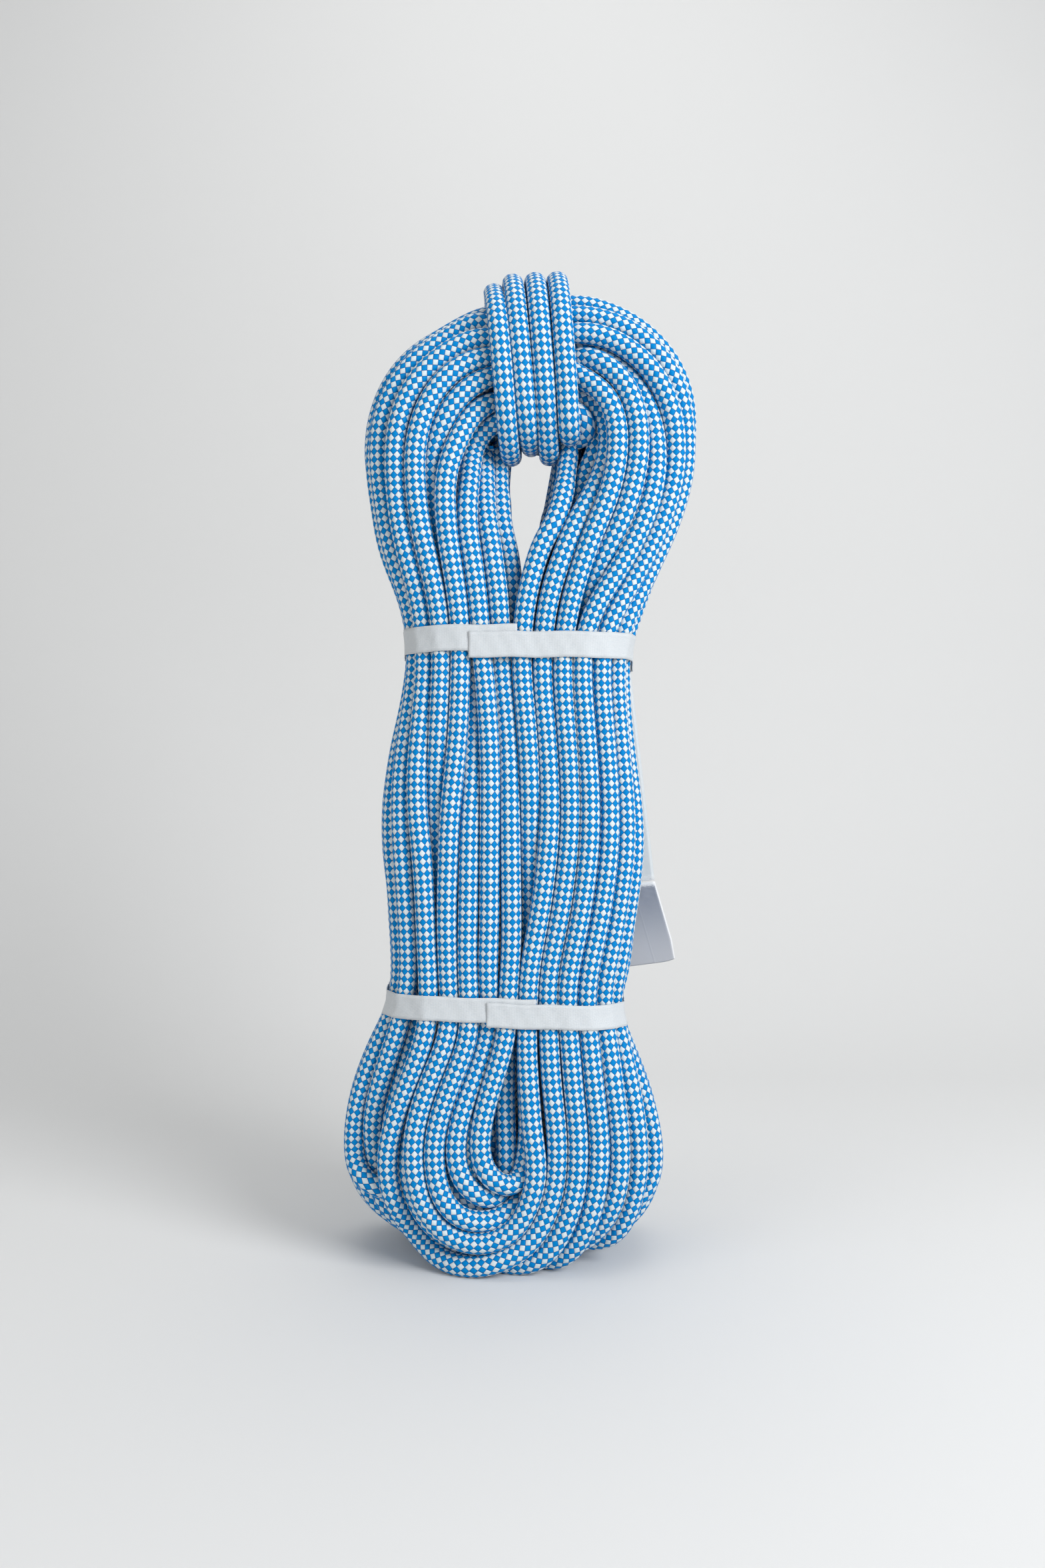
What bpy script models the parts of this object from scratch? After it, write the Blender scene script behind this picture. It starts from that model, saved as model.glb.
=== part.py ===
"""Dynamic climbing rope, wound up for the shop as a standing hank.

The rope runs up and down in tall loops. Two white tapes go round the hank, and the last turns of
the rope are wrapped round the crown of the loops and through the eye below it. A folded card
leaflet is tucked under the upper tape, behind the hank. X is to the right, the front faces -Y, and
the loops stand on z = 0.
"""
import math

import bpy
import bmesh
import numpy as np
from mathutils import Matrix, Vector

# ---------------------------------------------------------------- driving dimensions, metres
rope_diameter = 0.0100
strand_gap = 0.0006          # least space kept between the surfaces of two strands
fit_gap = 0.0003             # between two pieces that touch

# The hank from the front: outer widths, and the heights at which they are measured.
shoulder_width = 0.172
shoulder_height = 0.414
upper_waist_width = 0.119
upper_waist_height = 0.309
belly_width = 0.138
belly_height = 0.213
lower_waist_width = 0.123
lower_waist_height = 0.1285
foot_width = 0.166
foot_height = 0.052
crown_height = 0.4860        # top of the outermost loop, under the wraps
lean_per_height = 0.040      # the hank stands off plumb, its top to the right

# The same places from the side: outer depths.
shoulder_depth = 0.092
crown_depth = 0.0855
crown_depth_share = 0.7      # of the way from the shoulder to the crown, where that depth begins
upper_waist_depth = 0.088
belly_depth = 0.092
lower_waist_depth = 0.088
foot_depth = 0.098
corner_draw_in = 0.22        # share by which the outermost loops draw in towards the middle

# The eye between the two halves, under the wraps, and the slit between them at the foot.
eye_width = 0.0475           # clear width where the wraps go through
eye_height = 0.394           # height of that width
eye_top_height = 0.4066      # underside of the innermost loop
eye_squareness = 4.0         # of its top: 2 is an ellipse, more is squarer
crown_roundness = 2.0        # of the outermost loop's top, the same way
eye_foot_height = 0.342      # where the two halves meet
slit_top_height = 0.064      # where they part again round the innermost bight
slit_foot_height = 0.0536    # underside of the innermost bight

# Loops of the outer layer, and the wraps.
front_loops = 6
side_loops = 4
back_loops = 6
wraps = 4
foot_flat = 0.044            # length of a loop's level stretch on the floor
floor_flat_depth = 0.0010    # how deep the loops are pressed flat there
wrap_stand_off = 0.0012      # further clearance of the wraps, whose turns run in straight steps
row_slack = 0.0012           # and of the strands that sink in, where they slant
first_end_run = 0.0195       # the rope's first end comes out from between the inner turns
first_end_turn = 0.0035      # where it does, from the eye's left edge
first_end_way = (1.0, 1.6, 0.1)      # direction of the end, in to the middle and back

# The tail comes down behind the hank and is held by the upper tape. Its sheath is pinched under a
# shrunk sleeve, and the core shows at the cut.
tail_foot = (-0.029, 0.278)  # across, height
tail_drift_share = 1 / 3     # of its drop, after which the tail hangs over its foot
tail_stand_off = 0.0005      # further clearance of the tail, which hangs straight
end_pinch = 0.90             # share of the rope's diameter left under the sleeve
end_taper = 0.0010           # length over which it narrows
end_sleeve_length = 0.0150
end_sleeve_wall = 0.0004
core_diameter = 0.0062
core_depth = 0.0080
core_proud = 0.0006

# Tapes.
tape_width = 0.0130
tape_thickness = 0.0006
lap_gap = 0.0003
lap_ramp = 0.012             # length over which the tape rises onto its own end
tape_gap = 0.0009            # between the tape's straight steps and the strands
card_stand_off = 0.0014      # between the tape and the edges of the card under it
upper_tape_lap = (-0.0250, 0.0030)   # across: end on top, end underneath
lower_tape_lap = (-0.0160, 0.0075)
upper_tape_fall = 0.025      # drop to the right, for each metre across
lower_tape_fall = 0.055

# Leaflet: a folded card, its lower leaf bent back at a crease.
leaflet_width = 0.074
leaflet_thickness = 0.0008
leaflet_turn = math.radians(6.5)      # its right edge leans outwards, going down
leaflet_top_right = (0.0562, 0.3480)  # across, height
upper_leaf_length = 0.162
lower_leaf_length = 0.0465
lower_leaf_splay = math.radians(8.5)
lower_leaf_bend = math.radians(14)
crease_gap = 0.0003

# The inner turns' plain section: how far it stays inside the outer loops' centre lines, in
# radii, and how square it is (2 is an ellipse, more is squarer).
inner_side_inset = 1.25
inner_face_inset = 1.1
inner_squareness = 4.0

# ---------------------------------------------------------------- resolution
crown_angles = (20, 55, 90)  # of a loop's points from its top to its shoulder, degrees
bight_steps = 3              # points on each quarter of a bight
wrap_turn_points = 24
tail_steps = 5
tube_corner_steps = 1        # six sides
round_points = 16            # of the sleeve and the core
strand_points = 24           # round a strand, where a taut line goes over it
band_points = 120
ring_points = 16             # round the inner turns' section
samples_per_step = 8         # of each straight step of the turns under the wraps
check_step = 0.0025          # between the points at which the turns' own gap is measured

# ---------------------------------------------------------------- colours, linear
rope_blue = (0.060, 0.300, 0.640)
inner_blue = (0.045, 0.220, 0.500)
core_white = (0.780, 0.770, 0.730)
sleeve_grey = (0.640, 0.660, 0.680)
tape_white = (0.780, 0.790, 0.810)
card_grey = (0.560, 0.590, 0.640)

radius = rope_diameter / 2
pitch = rope_diameter + strand_gap
inner_run = radius + strand_gap / 2
tail_run = radius + strand_gap + tail_stand_off
loop_count = front_loops + side_loops + back_loops


def lerp(a, b, f):
    return a + (b - a) * f


def ease(f):
    f = min(max(f, 0.0), 1.0)
    return f * f * (3 - 2 * f)


def lean(height):
    return lean_per_height * (height - upper_waist_height)


# ---------------------------------------------------------------- the loops
# A loop's reach is its share of the way from the innermost loop to the outermost one.
def stations(reach):
    """(half width, height) of a loop's centre line, from its crown down to its bight."""
    def between(inner, outer):
        return lerp(inner[0], outer[0], reach), lerp(inner[1], outer[1], reach)
    return {
        "crown": between((0, eye_top_height + radius), (0, crown_height - radius)),
        "shoulder": between((eye_width / 2 + radius, eye_height),
                            (shoulder_width / 2 - radius, shoulder_height)),
        "neck": between((inner_run, eye_foot_height),
                        (upper_waist_width / 2 - radius, upper_waist_height)),
        "belly": between((inner_run, belly_height), (belly_width / 2 - radius, belly_height)),
        "waist": between((inner_run, lower_waist_height),
                         (lower_waist_width / 2 - radius, lower_waist_height)),
        "foot": between((inner_run, slit_top_height), (foot_width / 2 - radius, foot_height)),
        "bight": between((0, slit_foot_height + radius), (0, radius - floor_flat_depth)),
    }


def half_loop(reach):
    """Points of one half of a loop, from crown to bight, as (half width, height)."""
    s = stations(reach)
    points = []
    power = 2 / lerp(eye_squareness, crown_roundness, reach)
    rise = s["crown"][1] - s["shoulder"][1]
    for degrees in crown_angles:
        angle = math.radians(degrees)
        points.append((s["shoulder"][0] * math.sin(angle) ** power,
                       s["shoulder"][1] + rise * max(math.cos(angle), 0.0) ** power))
    for upper, lower, steps in (("shoulder", "neck", 2), ("neck", "belly", 1),
                                ("belly", "waist", 1), ("waist", "foot", 2)):
        for step in range(1, steps + 1):
            f = step / steps
            points.append((lerp(s[upper][0], s[lower][0], ease(f)),
                           lerp(s[upper][1], s[lower][1], f)))
    drop = s["foot"][1] - s["bight"][1]
    level = foot_flat / 2 * s["foot"][0] / (foot_width / 2 - radius)
    for step in range(1, bight_steps + 1):
        angle = math.pi / 2 * step / bight_steps
        points.append((level + (s["foot"][0] - level) * math.cos(angle),
                       s["foot"][1] - drop * math.sin(angle)))
    return points


steps_per_half = len(half_loop(0))
shoulder_step = len(crown_angles) - 1


def half_depth(height):
    """Half of the hank's depth at a height, to the surface."""
    marks = ((0.0, foot_depth), (foot_height, foot_depth), (lower_waist_height, lower_waist_depth),
             (belly_height, belly_depth), (upper_waist_height, upper_waist_depth),
             (shoulder_height, shoulder_depth),
             (lerp(shoulder_height, crown_height, crown_depth_share), crown_depth),
             (crown_height, crown_depth))
    return float(np.interp(height, [m[0] for m in marks], [m[1] / 2 for m in marks]))


def layer_depth(reach, height):
    """Half of the depth to the outer layer's centre lines: the sides and the crown draw in."""
    near_crown = ease((height - shoulder_height) / (crown_height - shoulder_height))
    draw_in = corner_draw_in * (reach ** 8 + near_crown * (1 - reach) ** 3)
    return (half_depth(height) - radius) * (1 - draw_in)


def place_in_layer(index):
    """(reach, share of the depth) of a loop: along the front row, the side, and the back row."""
    if index < front_loops:
        return index / (front_loops - 1), -1.0
    along_side = index - (front_loops - 1)
    if along_side <= side_loops:
        return 1.0, 2 * along_side / (side_loops + 1) - 1
    return 1 - (along_side - side_loops - 1) / (back_loops - 1), 1.0


def room_beside(reach, neighbour, step):
    """How far a loop's point lies from the loop beside it, seen from the front."""
    p = Vector(half_loop(reach)[step])
    other = [Vector(q) for q in half_loop(neighbour)]
    other = [Vector((-other[0].x, other[0].y))] + other + [Vector((-other[-1].x, other[-1].y))]
    least = 1.0
    for a, b in zip(other, other[1:]):
        f = min(max((p - a).dot(b - a) / (b - a).length_squared, 0.0), 1.0)
        least = min(least, (a.lerp(b, f) - p).length)
    return least


def row_depth(reach, row_step, step):
    """Half depth of a strand in the front or back row.

    Every second strand sinks in between its neighbours, by as much as the row is too narrow.
    """
    height = half_loop(reach)[step][1]
    depth = layer_depth(reach, height)
    if round(reach / row_step) % 2 == 1:
        for beside in (reach - row_step, reach + row_step):
            if -0.01 < beside < 1.01:
                room = room_beside(reach, beside, step)
                level = layer_depth(beside, height)
                depth = min(depth, level - math.sqrt(max((pitch + row_slack) ** 2 - room ** 2, 0.0)))
    return depth


def layer_point(index, step, side):
    """A point of a loop of the outer layer, on the left (-1) or right (1)."""
    reach, share = place_in_layer(index)
    across, height = half_loop(reach)[step]
    depth = share * row_depth(reach, 1 / ((front_loops if share < 0 else back_loops) - 1), step)
    return Vector((side * across + lean(height), depth, height))


def layer_points():
    """Centre line of the outer loops, from the rope's first end to the last loop's neck.

    Each loop runs down the left half and up the right one, and moves on to its next place where
    it goes over the crown, under the wraps.
    """
    points = []
    for loop in range(loop_count):
        points += [layer_point(loop, step, -1) for step in range(steps_per_half)]
        points += [layer_point(loop, step, 1) for step in reversed(range(steps_per_half))]
    points[0].x = lean(points[0].z) - eye_width / 2 + first_end_turn
    end = points[0] + Vector(first_end_way).normalized() * first_end_run
    return [end] + points[:-(shoulder_step + 1)]


# ---------------------------------------------------------------- a taut line round strands
def taut_outline(circles, count):
    """Evenly spaced points on the convex outline of (x, y, radius) circles, counter-clockwise.

    The first point lies in the middle of the side that faces -y.
    """
    corners = []
    for x, y, reach in circles:
        for k in range(strand_points):
            angle = 2 * math.pi * k / strand_points
            corners.append((x + reach * math.cos(angle), y + reach * math.sin(angle)))
    corners = sorted(set(corners))

    def chain(points):
        kept = []
        for p in points:
            while len(kept) > 1 and ((kept[-1][0] - kept[-2][0]) * (p[1] - kept[-2][1])
                                     <= (kept[-1][1] - kept[-2][1]) * (p[0] - kept[-2][0])):
                kept.pop()
            kept.append(p)
        return kept[:-1]

    hull = np.array(chain(corners) + chain(corners[::-1]))
    middle = (hull[:, 0].min() + hull[:, 0].max()) / 2
    closed = np.vstack([hull, hull[:1]])
    along = np.concatenate([[0], np.cumsum(np.linalg.norm(np.diff(closed, axis=0), axis=1))])
    low = [k for k in range(len(hull)) if (closed[k, 0] - middle) * (closed[k + 1, 0] - middle) <= 0
           and closed[k, 0] < closed[k + 1, 0]][0]
    share = (middle - closed[low, 0]) / (closed[low + 1, 0] - closed[low, 0])
    start = lerp(along[low], along[low + 1], share)
    places = (start + along[-1] * np.arange(count) / count) % along[-1]
    return np.stack([np.interp(places, along, closed[:, k]) for k in (0, 1)], axis=1)


def crossings(points, height, fall=0.0):
    """Where a line of points crosses a level, as (x, y). The level falls to the right."""
    found = []
    for a, b in zip(points, points[1:]):
        above = [p.z + fall * p.x - height for p in (a, b)]
        if (above[0] <= 0) != (above[1] <= 0):
            at = a.lerp(b, above[0] / (above[0] - above[1]))
            found.append((at.x, at.y))
    return found


# ---------------------------------------------------------------- the wraps and the tail
def crown_outline(points):
    """The wraps' route round the crown, as (depth, height), from the back middle downwards."""
    near = eye_width / 2
    circles = []
    for a, b in zip(points, points[1:]):
        for k in range(samples_per_step + 1):
            p = a.lerp(b, k / samples_per_step)
            if p.z > eye_height and abs(p.x - lean(p.z)) < near:
                circles.append((p.z, p.y, pitch + wrap_stand_off))
    # In this frame -y is the hank's front, and the outline runs up the front first.
    outline = taut_outline(circles, wrap_turn_points)
    return [(y, z) for z, y in outline]


def wrap_and_tail(points):
    """The wraps' turns, from the foot of the back through the eye, and the tail behind the hank."""
    outline = crown_outline(points)
    line = []
    half_turn = wrap_turn_points // 2
    entry = half_turn + wrap_turn_points // 6
    leave = wrap_turn_points * wraps + half_turn
    for k in range(entry, leave + 1):
        y, z = outline[k % wrap_turn_points]
        turns = k / wrap_turn_points - 0.75
        line.append(Vector((pitch * ((wraps - 1) / 2 - turns) + lean(z), y, z)))
    top = line[-1]
    for k in range(1, tail_steps + 1):
        height = lerp(top.z, tail_foot[1], k / tail_steps)
        across = lerp(top.x, tail_foot[0], ease(k / tail_steps / tail_drift_share))
        line.append(Vector((across, half_depth(height) + tail_run, height)))
    return line


def tube(name, points, radii, thickness=radius, collection="climbing_rope"):
    """A tube along points, as a closed mesh object."""
    curve = bpy.data.curves.new(name, "CURVE")
    curve.dimensions = "3D"
    curve.bevel_depth = thickness
    curve.bevel_resolution = tube_corner_steps
    curve.use_fill_caps = True
    spline = curve.splines.new("POLY")
    spline.points.add(len(points) - 1)
    for point, at, share in zip(spline.points, points, radii):
        point.co = (*at, 1)
        point.radius = share
    return meshed(name, curve, collection)


# ---------------------------------------------------------------- Blender helpers
def start_empty():
    for item in list(bpy.data.objects):
        bpy.data.objects.remove(item, do_unlink=True)
    for name in ("climbing_rope", "cutters"):
        bpy.context.scene.collection.children.link(bpy.data.collections.new(name))
    frame = bpy.data.objects.new("hank_frame", None)
    bpy.data.collections["climbing_rope"].objects.link(frame)
    return frame


def material(name, colour, roughness):
    made = bpy.data.materials.new(name)
    made.use_nodes = True
    shader = made.node_tree.nodes["Principled BSDF"]
    shader.inputs["Base Color"].default_value = (*colour, 1)
    shader.inputs["Roughness"].default_value = roughness
    shader.inputs["Metallic"].default_value = 0.0
    return made


def placed(name, data, collection="climbing_rope"):
    made = bpy.data.objects.new(name, data)
    bpy.data.collections[collection].objects.link(made)
    made.parent = bpy.data.objects["hank_frame"]
    if collection == "cutters":
        made.hide_render = True
        made.display_type = "WIRE"
    return made


def meshed(name, curve, collection):
    """A curve's evaluated shape as a mesh object, its end caps welded on."""
    drawn = placed(name + "_line", curve, collection)
    bpy.context.view_layer.update()
    evaluated = drawn.evaluated_get(bpy.context.evaluated_depsgraph_get())
    mesh = bpy.data.meshes.new_from_object(evaluated)
    mesh.name = name
    cage = bmesh.new()
    cage.from_mesh(mesh)
    bmesh.ops.remove_doubles(cage, verts=cage.verts, dist=1e-6)
    bmesh.ops.recalc_face_normals(cage, faces=cage.faces)
    cage.to_mesh(mesh)
    cage.free()
    made = placed(name, mesh, collection)
    made.matrix_world = drawn.matrix_world
    bpy.data.objects.remove(drawn, do_unlink=True)
    return made


def loft(name, rings, closed):
    """A mesh skinned over rings of points. Closed joins the last ring to the first."""
    cage = bmesh.new()
    rows = [[cage.verts.new(p) for p in ring] for ring in rings]
    pairs = list(zip(rows, rows[1:] + rows[:1] if closed else rows[1:]))
    for row, following in pairs:
        count = len(row)
        for k in range(count if closed else count - 1):
            cage.faces.new((row[k], row[(k + 1) % count], following[(k + 1) % count], following[k]))
    bmesh.ops.recalc_face_normals(cage, faces=cage.faces)
    mesh = bpy.data.meshes.new(name)
    cage.to_mesh(mesh)
    cage.free()
    return placed(name, mesh)


def cut(target, cutter):
    modifier = target.modifiers.new("cut_" + cutter.name, "BOOLEAN")
    modifier.operation = "DIFFERENCE"
    modifier.solver = "EXACT"
    modifier.object = cutter


def smooth(made):
    made.data.shade_smooth()
    made.data.set_sharp_from_angle(angle=math.radians(50))


# ---------------------------------------------------------------- the rope
def make_floor_cutter():
    mesh = bpy.data.meshes.new("floor_cutter")
    cage = bmesh.new()
    depth = 2 * rope_diameter
    size = Matrix.Diagonal((2 * foot_width, 2 * foot_depth, depth, 1))
    bmesh.ops.create_cube(cage, size=1, matrix=Matrix.Translation((0, 0, -depth / 2)) @ size)
    cage.to_mesh(mesh)
    cage.free()
    return placed("floor_cutter", mesh, "cutters")


def cylinder(name, size, length, collection, capped=True):
    mesh = bpy.data.meshes.new(name)
    cage = bmesh.new()
    bmesh.ops.create_cone(cage, cap_ends=capped, segments=round_points, radius1=size / 2,
                          radius2=size / 2, depth=length)
    cage.to_mesh(mesh)
    cage.free()
    return placed(name, mesh, collection)


def make_turns(line):
    """The rope's outer loops, wraps and tail, in one unbroken length. Returns the tail's foot."""
    foot = line[-1]
    up = Vector((0, 0, 1))
    pinched = end_sleeve_length + fit_gap
    full = line[:-1] + [foot + up * (pinched + rope_diameter), foot + up * (pinched + end_taper)]
    turns = tube("rope_turns", full + [foot + up * pinched, foot],
                 [1.0] * len(full) + [end_pinch, end_pinch])
    bore_length = core_depth + rope_diameter
    bore = cylinder("core_bore", core_diameter + 2 * fit_gap, bore_length, "cutters")
    bore.location = foot + up * (core_depth - bore_length / 2)
    cut(turns, bore)
    cut(turns, make_floor_cutter())
    turns.data.materials.append(material("rope_blue_white", rope_blue, 0.75))
    smooth(turns)
    return foot


def make_end(foot):
    """The tail's shrunk sleeve, and the core that shows at the cut."""
    sleeve = cylinder("rope_end_sleeve", end_pinch * rope_diameter + 2 * fit_gap, end_sleeve_length,
                      "climbing_rope", capped=False)
    wall = sleeve.modifiers.new("wall", "SOLIDIFY")
    wall.thickness = end_sleeve_wall
    wall.offset = 1
    sleeve.location = foot + Vector((0, 0, end_sleeve_length / 2))
    sleeve.data.materials.append(material("sleeve", sleeve_grey, 0.35))
    smooth(sleeve)
    length = core_depth - fit_gap + core_proud
    core = cylinder("rope_end_core", core_diameter, length, "climbing_rope")
    core.location = foot + Vector((0, 0, length / 2 - core_proud))
    rounded = core.modifiers.new("melted_rim", "BEVEL")
    rounded.width = core_proud
    rounded.segments = 2
    rounded.limit_method = "ANGLE"
    core.data.materials.append(material("core_white", core_white, 0.7))
    smooth(core)


def make_inner_turns(points):
    """The loops inside the outer layer, as one plain bundle with the same outline."""
    row_step = 1 / (front_loops - 1)
    row = [k * row_step for k in range(front_loops)]
    side_inset = inner_side_inset * radius + fit_gap
    face_inset = inner_face_inset * radius + fit_gap
    power = 2 / inner_squareness
    rings = []
    for side, steps in ((-1, range(steps_per_half)), (1, reversed(range(steps_per_half)))):
        for step in steps:
            inner, outer = half_loop(0)[step], half_loop(1)[step]
            sunk = max(layer_depth(reach, half_loop(reach)[step][1]) - row_depth(reach, row_step, step)
                       for reach in row)
            width = math.dist(inner, outer)
            near = -(radius - fit_gap) / width
            far = 1 - side_inset / width
            ring = []
            for k in range(ring_points):
                angle = 2 * math.pi * k / ring_points
                across = math.copysign(abs(math.cos(angle)) ** power, math.cos(angle))
                through = math.copysign(abs(math.sin(angle)) ** power, math.sin(angle))
                reach = lerp(near, far, 0.5 + 0.5 * across)
                x = lerp(inner[0], outer[0], reach)
                z = lerp(inner[1], outer[1], reach)
                depth = layer_depth(min(max(reach, 0.0), 1.0), z) - sunk - face_inset
                ring.append((side * x + lean(z), through * depth, z))
            rings.append(ring)
    bundle = loft("rope_inner_turns", rings, closed=True)
    end, corner = points[0], points[1]
    along = (end - corner).normalized() * strand_gap
    channel = tube("first_end_channel", [corner - along, end + along], [1.0, 1.0],
                   (radius + strand_gap) / math.cos(math.pi / 6), "cutters")
    cut(bundle, channel)
    bundle.data.materials.append(material("rope_inner", inner_blue, 0.8))
    smooth(bundle)


def least_gap(line):
    """The least gap between parts of the tube that lie more than three diameters apart along it."""
    samples = []
    for a, b in zip(line, line[1:]):
        count = max(1, int((b - a).length / check_step))
        samples += [a.lerp(b, k / count) for k in range(count)]
    spots = np.array(samples)
    along = np.concatenate([[0], np.cumsum(np.linalg.norm(np.diff(spots, axis=0), axis=1))])
    least = 1.0
    for k in range(0, len(spots), 400):
        part = spots[k:k + 400]
        apart = np.linalg.norm(part[:, None] - spots[None], axis=2)
        apart[np.abs(along[k:k + 400, None] - along[None]) < 3 * rope_diameter] = 1.0
        least = min(least, float(apart.min()))
    return least - rope_diameter


# ---------------------------------------------------------------- the tapes
def make_tape(name, height, fall, lap, line, others):
    """A tape drawn round the strands, its end lapped over its start across the front."""
    rows = []
    for z in (height - tape_width / 2, height, height + tape_width / 2):
        circles = [(x, y, radius + tape_gap) for x, y in crossings(line, z, fall)]
        circles += [(x, y, card_stand_off) for x, y in others(z, fall)]
        outline = taut_outline(circles, band_points)
        rows.append([(x, y, z - fall * x) for x, y in lapped(outline, lap)])
    strip = loft(name, rows, closed=False)
    body = strip.modifiers.new("thickness", "SOLIDIFY")
    body.thickness = tape_thickness
    body.offset = 1
    strip.data.materials.append(material(name, tape_white, 0.45))
    smooth(strip)
    return strip


def lapped(outline, lap):
    """The tape's line at one level: from its start under the lap, left round the hank, to its end."""
    closed = np.vstack([outline, outline[:1]])
    along = np.concatenate([[0], np.cumsum(np.linalg.norm(np.diff(closed, axis=0), axis=1))])
    girth = along[-1]
    middle = outline[0, 0]
    travel = girth + lap[1] - lap[0]
    points = []
    for walked in np.linspace(0, travel, band_points + 6):
        here = []
        for step in (-0.0005, 0, 0.0005):
            place = (lap[1] - middle - walked + step) % girth
            here.append(np.array([np.interp(place, along, closed[:, k]) for k in (0, 1)]))
        forward = here[2] - here[0]
        outwards = np.array([forward[1], -forward[0]]) / np.linalg.norm(forward)
        lift = (tape_thickness + lap_gap) * ease((walked - girth + lap_ramp) / (lap_ramp - lap_gap))
        x, y = here[1] + outwards * lift
        points.append((x, y))
    return points


# ---------------------------------------------------------------- the leaflet
leaf_across = Vector((math.cos(leaflet_turn), 0, math.sin(leaflet_turn)))
leaf_up = Vector((-math.sin(leaflet_turn), 0, math.cos(leaflet_turn)))
leaf_back = max(half_depth(h) for h in (lower_waist_height, belly_height, leaflet_top_right[1]))
leaf_front_y = leaf_back + fit_gap
crease_y = leaf_front_y + leaflet_thickness + crease_gap / 2
top_right = Vector((leaflet_top_right[0], crease_y, leaflet_top_right[1]))
crease_right = top_right - leaf_up * upper_leaf_length
crease_left = crease_right - leaf_across * leaflet_width


def leaflet_section(height, fall):
    """Corners of the upper leaf's section at a level, as (x, y)."""
    corners = [top_right, top_right - leaf_across * leaflet_width, crease_left, crease_right, top_right]
    return [(x, y) for x, _ in crossings(corners, height, fall)
            for y in (leaf_front_y, leaf_front_y + leaflet_thickness)]


def make_leaf(name, outline, bend, shade):
    """A leaf in its crease's frame: local X along the crease, Y up the leaflet, Z to the front."""
    crease = bpy.data.objects.new(name + "_crease", None)
    bpy.data.collections["climbing_rope"].objects.link(crease)
    crease.parent = bpy.data.objects["hank_frame"]
    axes = Matrix((leaf_across, leaf_up, leaf_across.cross(leaf_up))).transposed().to_4x4()
    middle = (crease_left + crease_right) / 2
    crease.matrix_local = Matrix.Translation(middle) @ axes @ Matrix.Rotation(bend, 4, "X")
    curve = bpy.data.curves.new(name, "CURVE")
    curve.dimensions = "2D"
    curve.fill_mode = "BOTH"
    curve.extrude = leaflet_thickness / 2
    spline = curve.splines.new("POLY")
    spline.points.add(len(outline) - 1)
    for point, at in zip(spline.points, outline):
        point.co = (*at, 0, 1)
    spline.use_cyclic_u = True
    leaf = placed(name, curve)
    leaf.parent = crease
    leaf.location = (0, 0, crease_gap / 2 + leaflet_thickness / 2)
    curve.materials.append(material(name, shade, 0.5))


def make_leaflet():
    half = leaflet_width / 2
    low = crease_gap / 2
    make_leaf("leaflet_upper_leaf", [(-half, low), (half, low), (half, upper_leaf_length),
                                     (-half, upper_leaf_length)], 0.0, card_grey)
    splay = math.tan(lower_leaf_splay) * lower_leaf_length
    make_leaf("leaflet_lower_leaf", [(-half, -low), (-half + splay, -lower_leaf_length),
                                     (half + splay, -lower_leaf_length), (half, -low)],
              lower_leaf_bend, card_grey)


# ---------------------------------------------------------------- the whole part
def centre_on_floor(frame):
    """Moves the frame so that the part's box is centred over the origin."""
    bpy.context.view_layer.update()
    graph = bpy.context.evaluated_depsgraph_get()
    corners = []
    for item in bpy.data.collections["climbing_rope"].objects:
        if item.type != "EMPTY":
            evaluated = item.evaluated_get(graph)
            corners += [evaluated.matrix_world @ v.co for v in evaluated.to_mesh().vertices]
    low = [min(c[k] for c in corners) for k in (0, 1)]
    high = [max(c[k] for c in corners) for k in (0, 1)]
    frame.location = (-(low[0] + high[0]) / 2, -(low[1] + high[1]) / 2, 0)
    bpy.context.view_layer.update()


def main():
    frame = start_empty()
    loops = layer_points()
    line = loops + wrap_and_tail(loops)
    gap = least_gap(line)
    print("least gap of the turns to themselves: %.2f mm" % (gap * 1000))
    foot = make_turns(line)
    make_end(foot)
    make_inner_turns(loops)
    make_tape("upper_tape", upper_waist_height, upper_tape_fall, upper_tape_lap, line, leaflet_section)
    make_tape("lower_tape", lower_waist_height, lower_tape_fall, lower_tape_lap, line,
              lambda height, fall: [])
    make_leaflet()
    centre_on_floor(frame)
    at = frame.location + (crease_left + crease_right) / 2
    print("crease at %.6f %.6f %.6f" % tuple(at), "along %.6f %.6f %.6f" % tuple(leaf_across))


main()
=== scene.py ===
import math
import time

import bmesh
import bpy
import numpy as np
from mathutils import Matrix, Vector
from mathutils.bvhtree import BVHTree


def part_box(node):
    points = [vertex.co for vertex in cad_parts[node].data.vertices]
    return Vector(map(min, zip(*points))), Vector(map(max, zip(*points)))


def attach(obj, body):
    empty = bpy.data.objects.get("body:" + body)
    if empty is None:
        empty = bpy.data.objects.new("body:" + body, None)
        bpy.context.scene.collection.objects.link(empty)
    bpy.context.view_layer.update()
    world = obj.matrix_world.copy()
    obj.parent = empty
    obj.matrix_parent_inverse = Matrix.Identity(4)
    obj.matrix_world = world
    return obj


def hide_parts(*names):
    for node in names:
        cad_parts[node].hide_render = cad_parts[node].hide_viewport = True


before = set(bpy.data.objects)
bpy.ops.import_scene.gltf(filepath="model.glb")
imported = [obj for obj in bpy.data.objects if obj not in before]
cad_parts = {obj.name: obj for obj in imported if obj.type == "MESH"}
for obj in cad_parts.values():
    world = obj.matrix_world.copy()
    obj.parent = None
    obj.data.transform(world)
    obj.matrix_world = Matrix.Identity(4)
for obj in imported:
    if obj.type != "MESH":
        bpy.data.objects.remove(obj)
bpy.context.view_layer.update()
startTime = time.time()


def say(words):
    print(f"[{time.time() - startTime:6.1f} s] {words}")


def lerp(a, b, f):
    return a + (b - a) * f


def ease(f):
    f = np.clip(f, 0.0, 1.0)
    return f * f * (3 - 2 * f)


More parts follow.
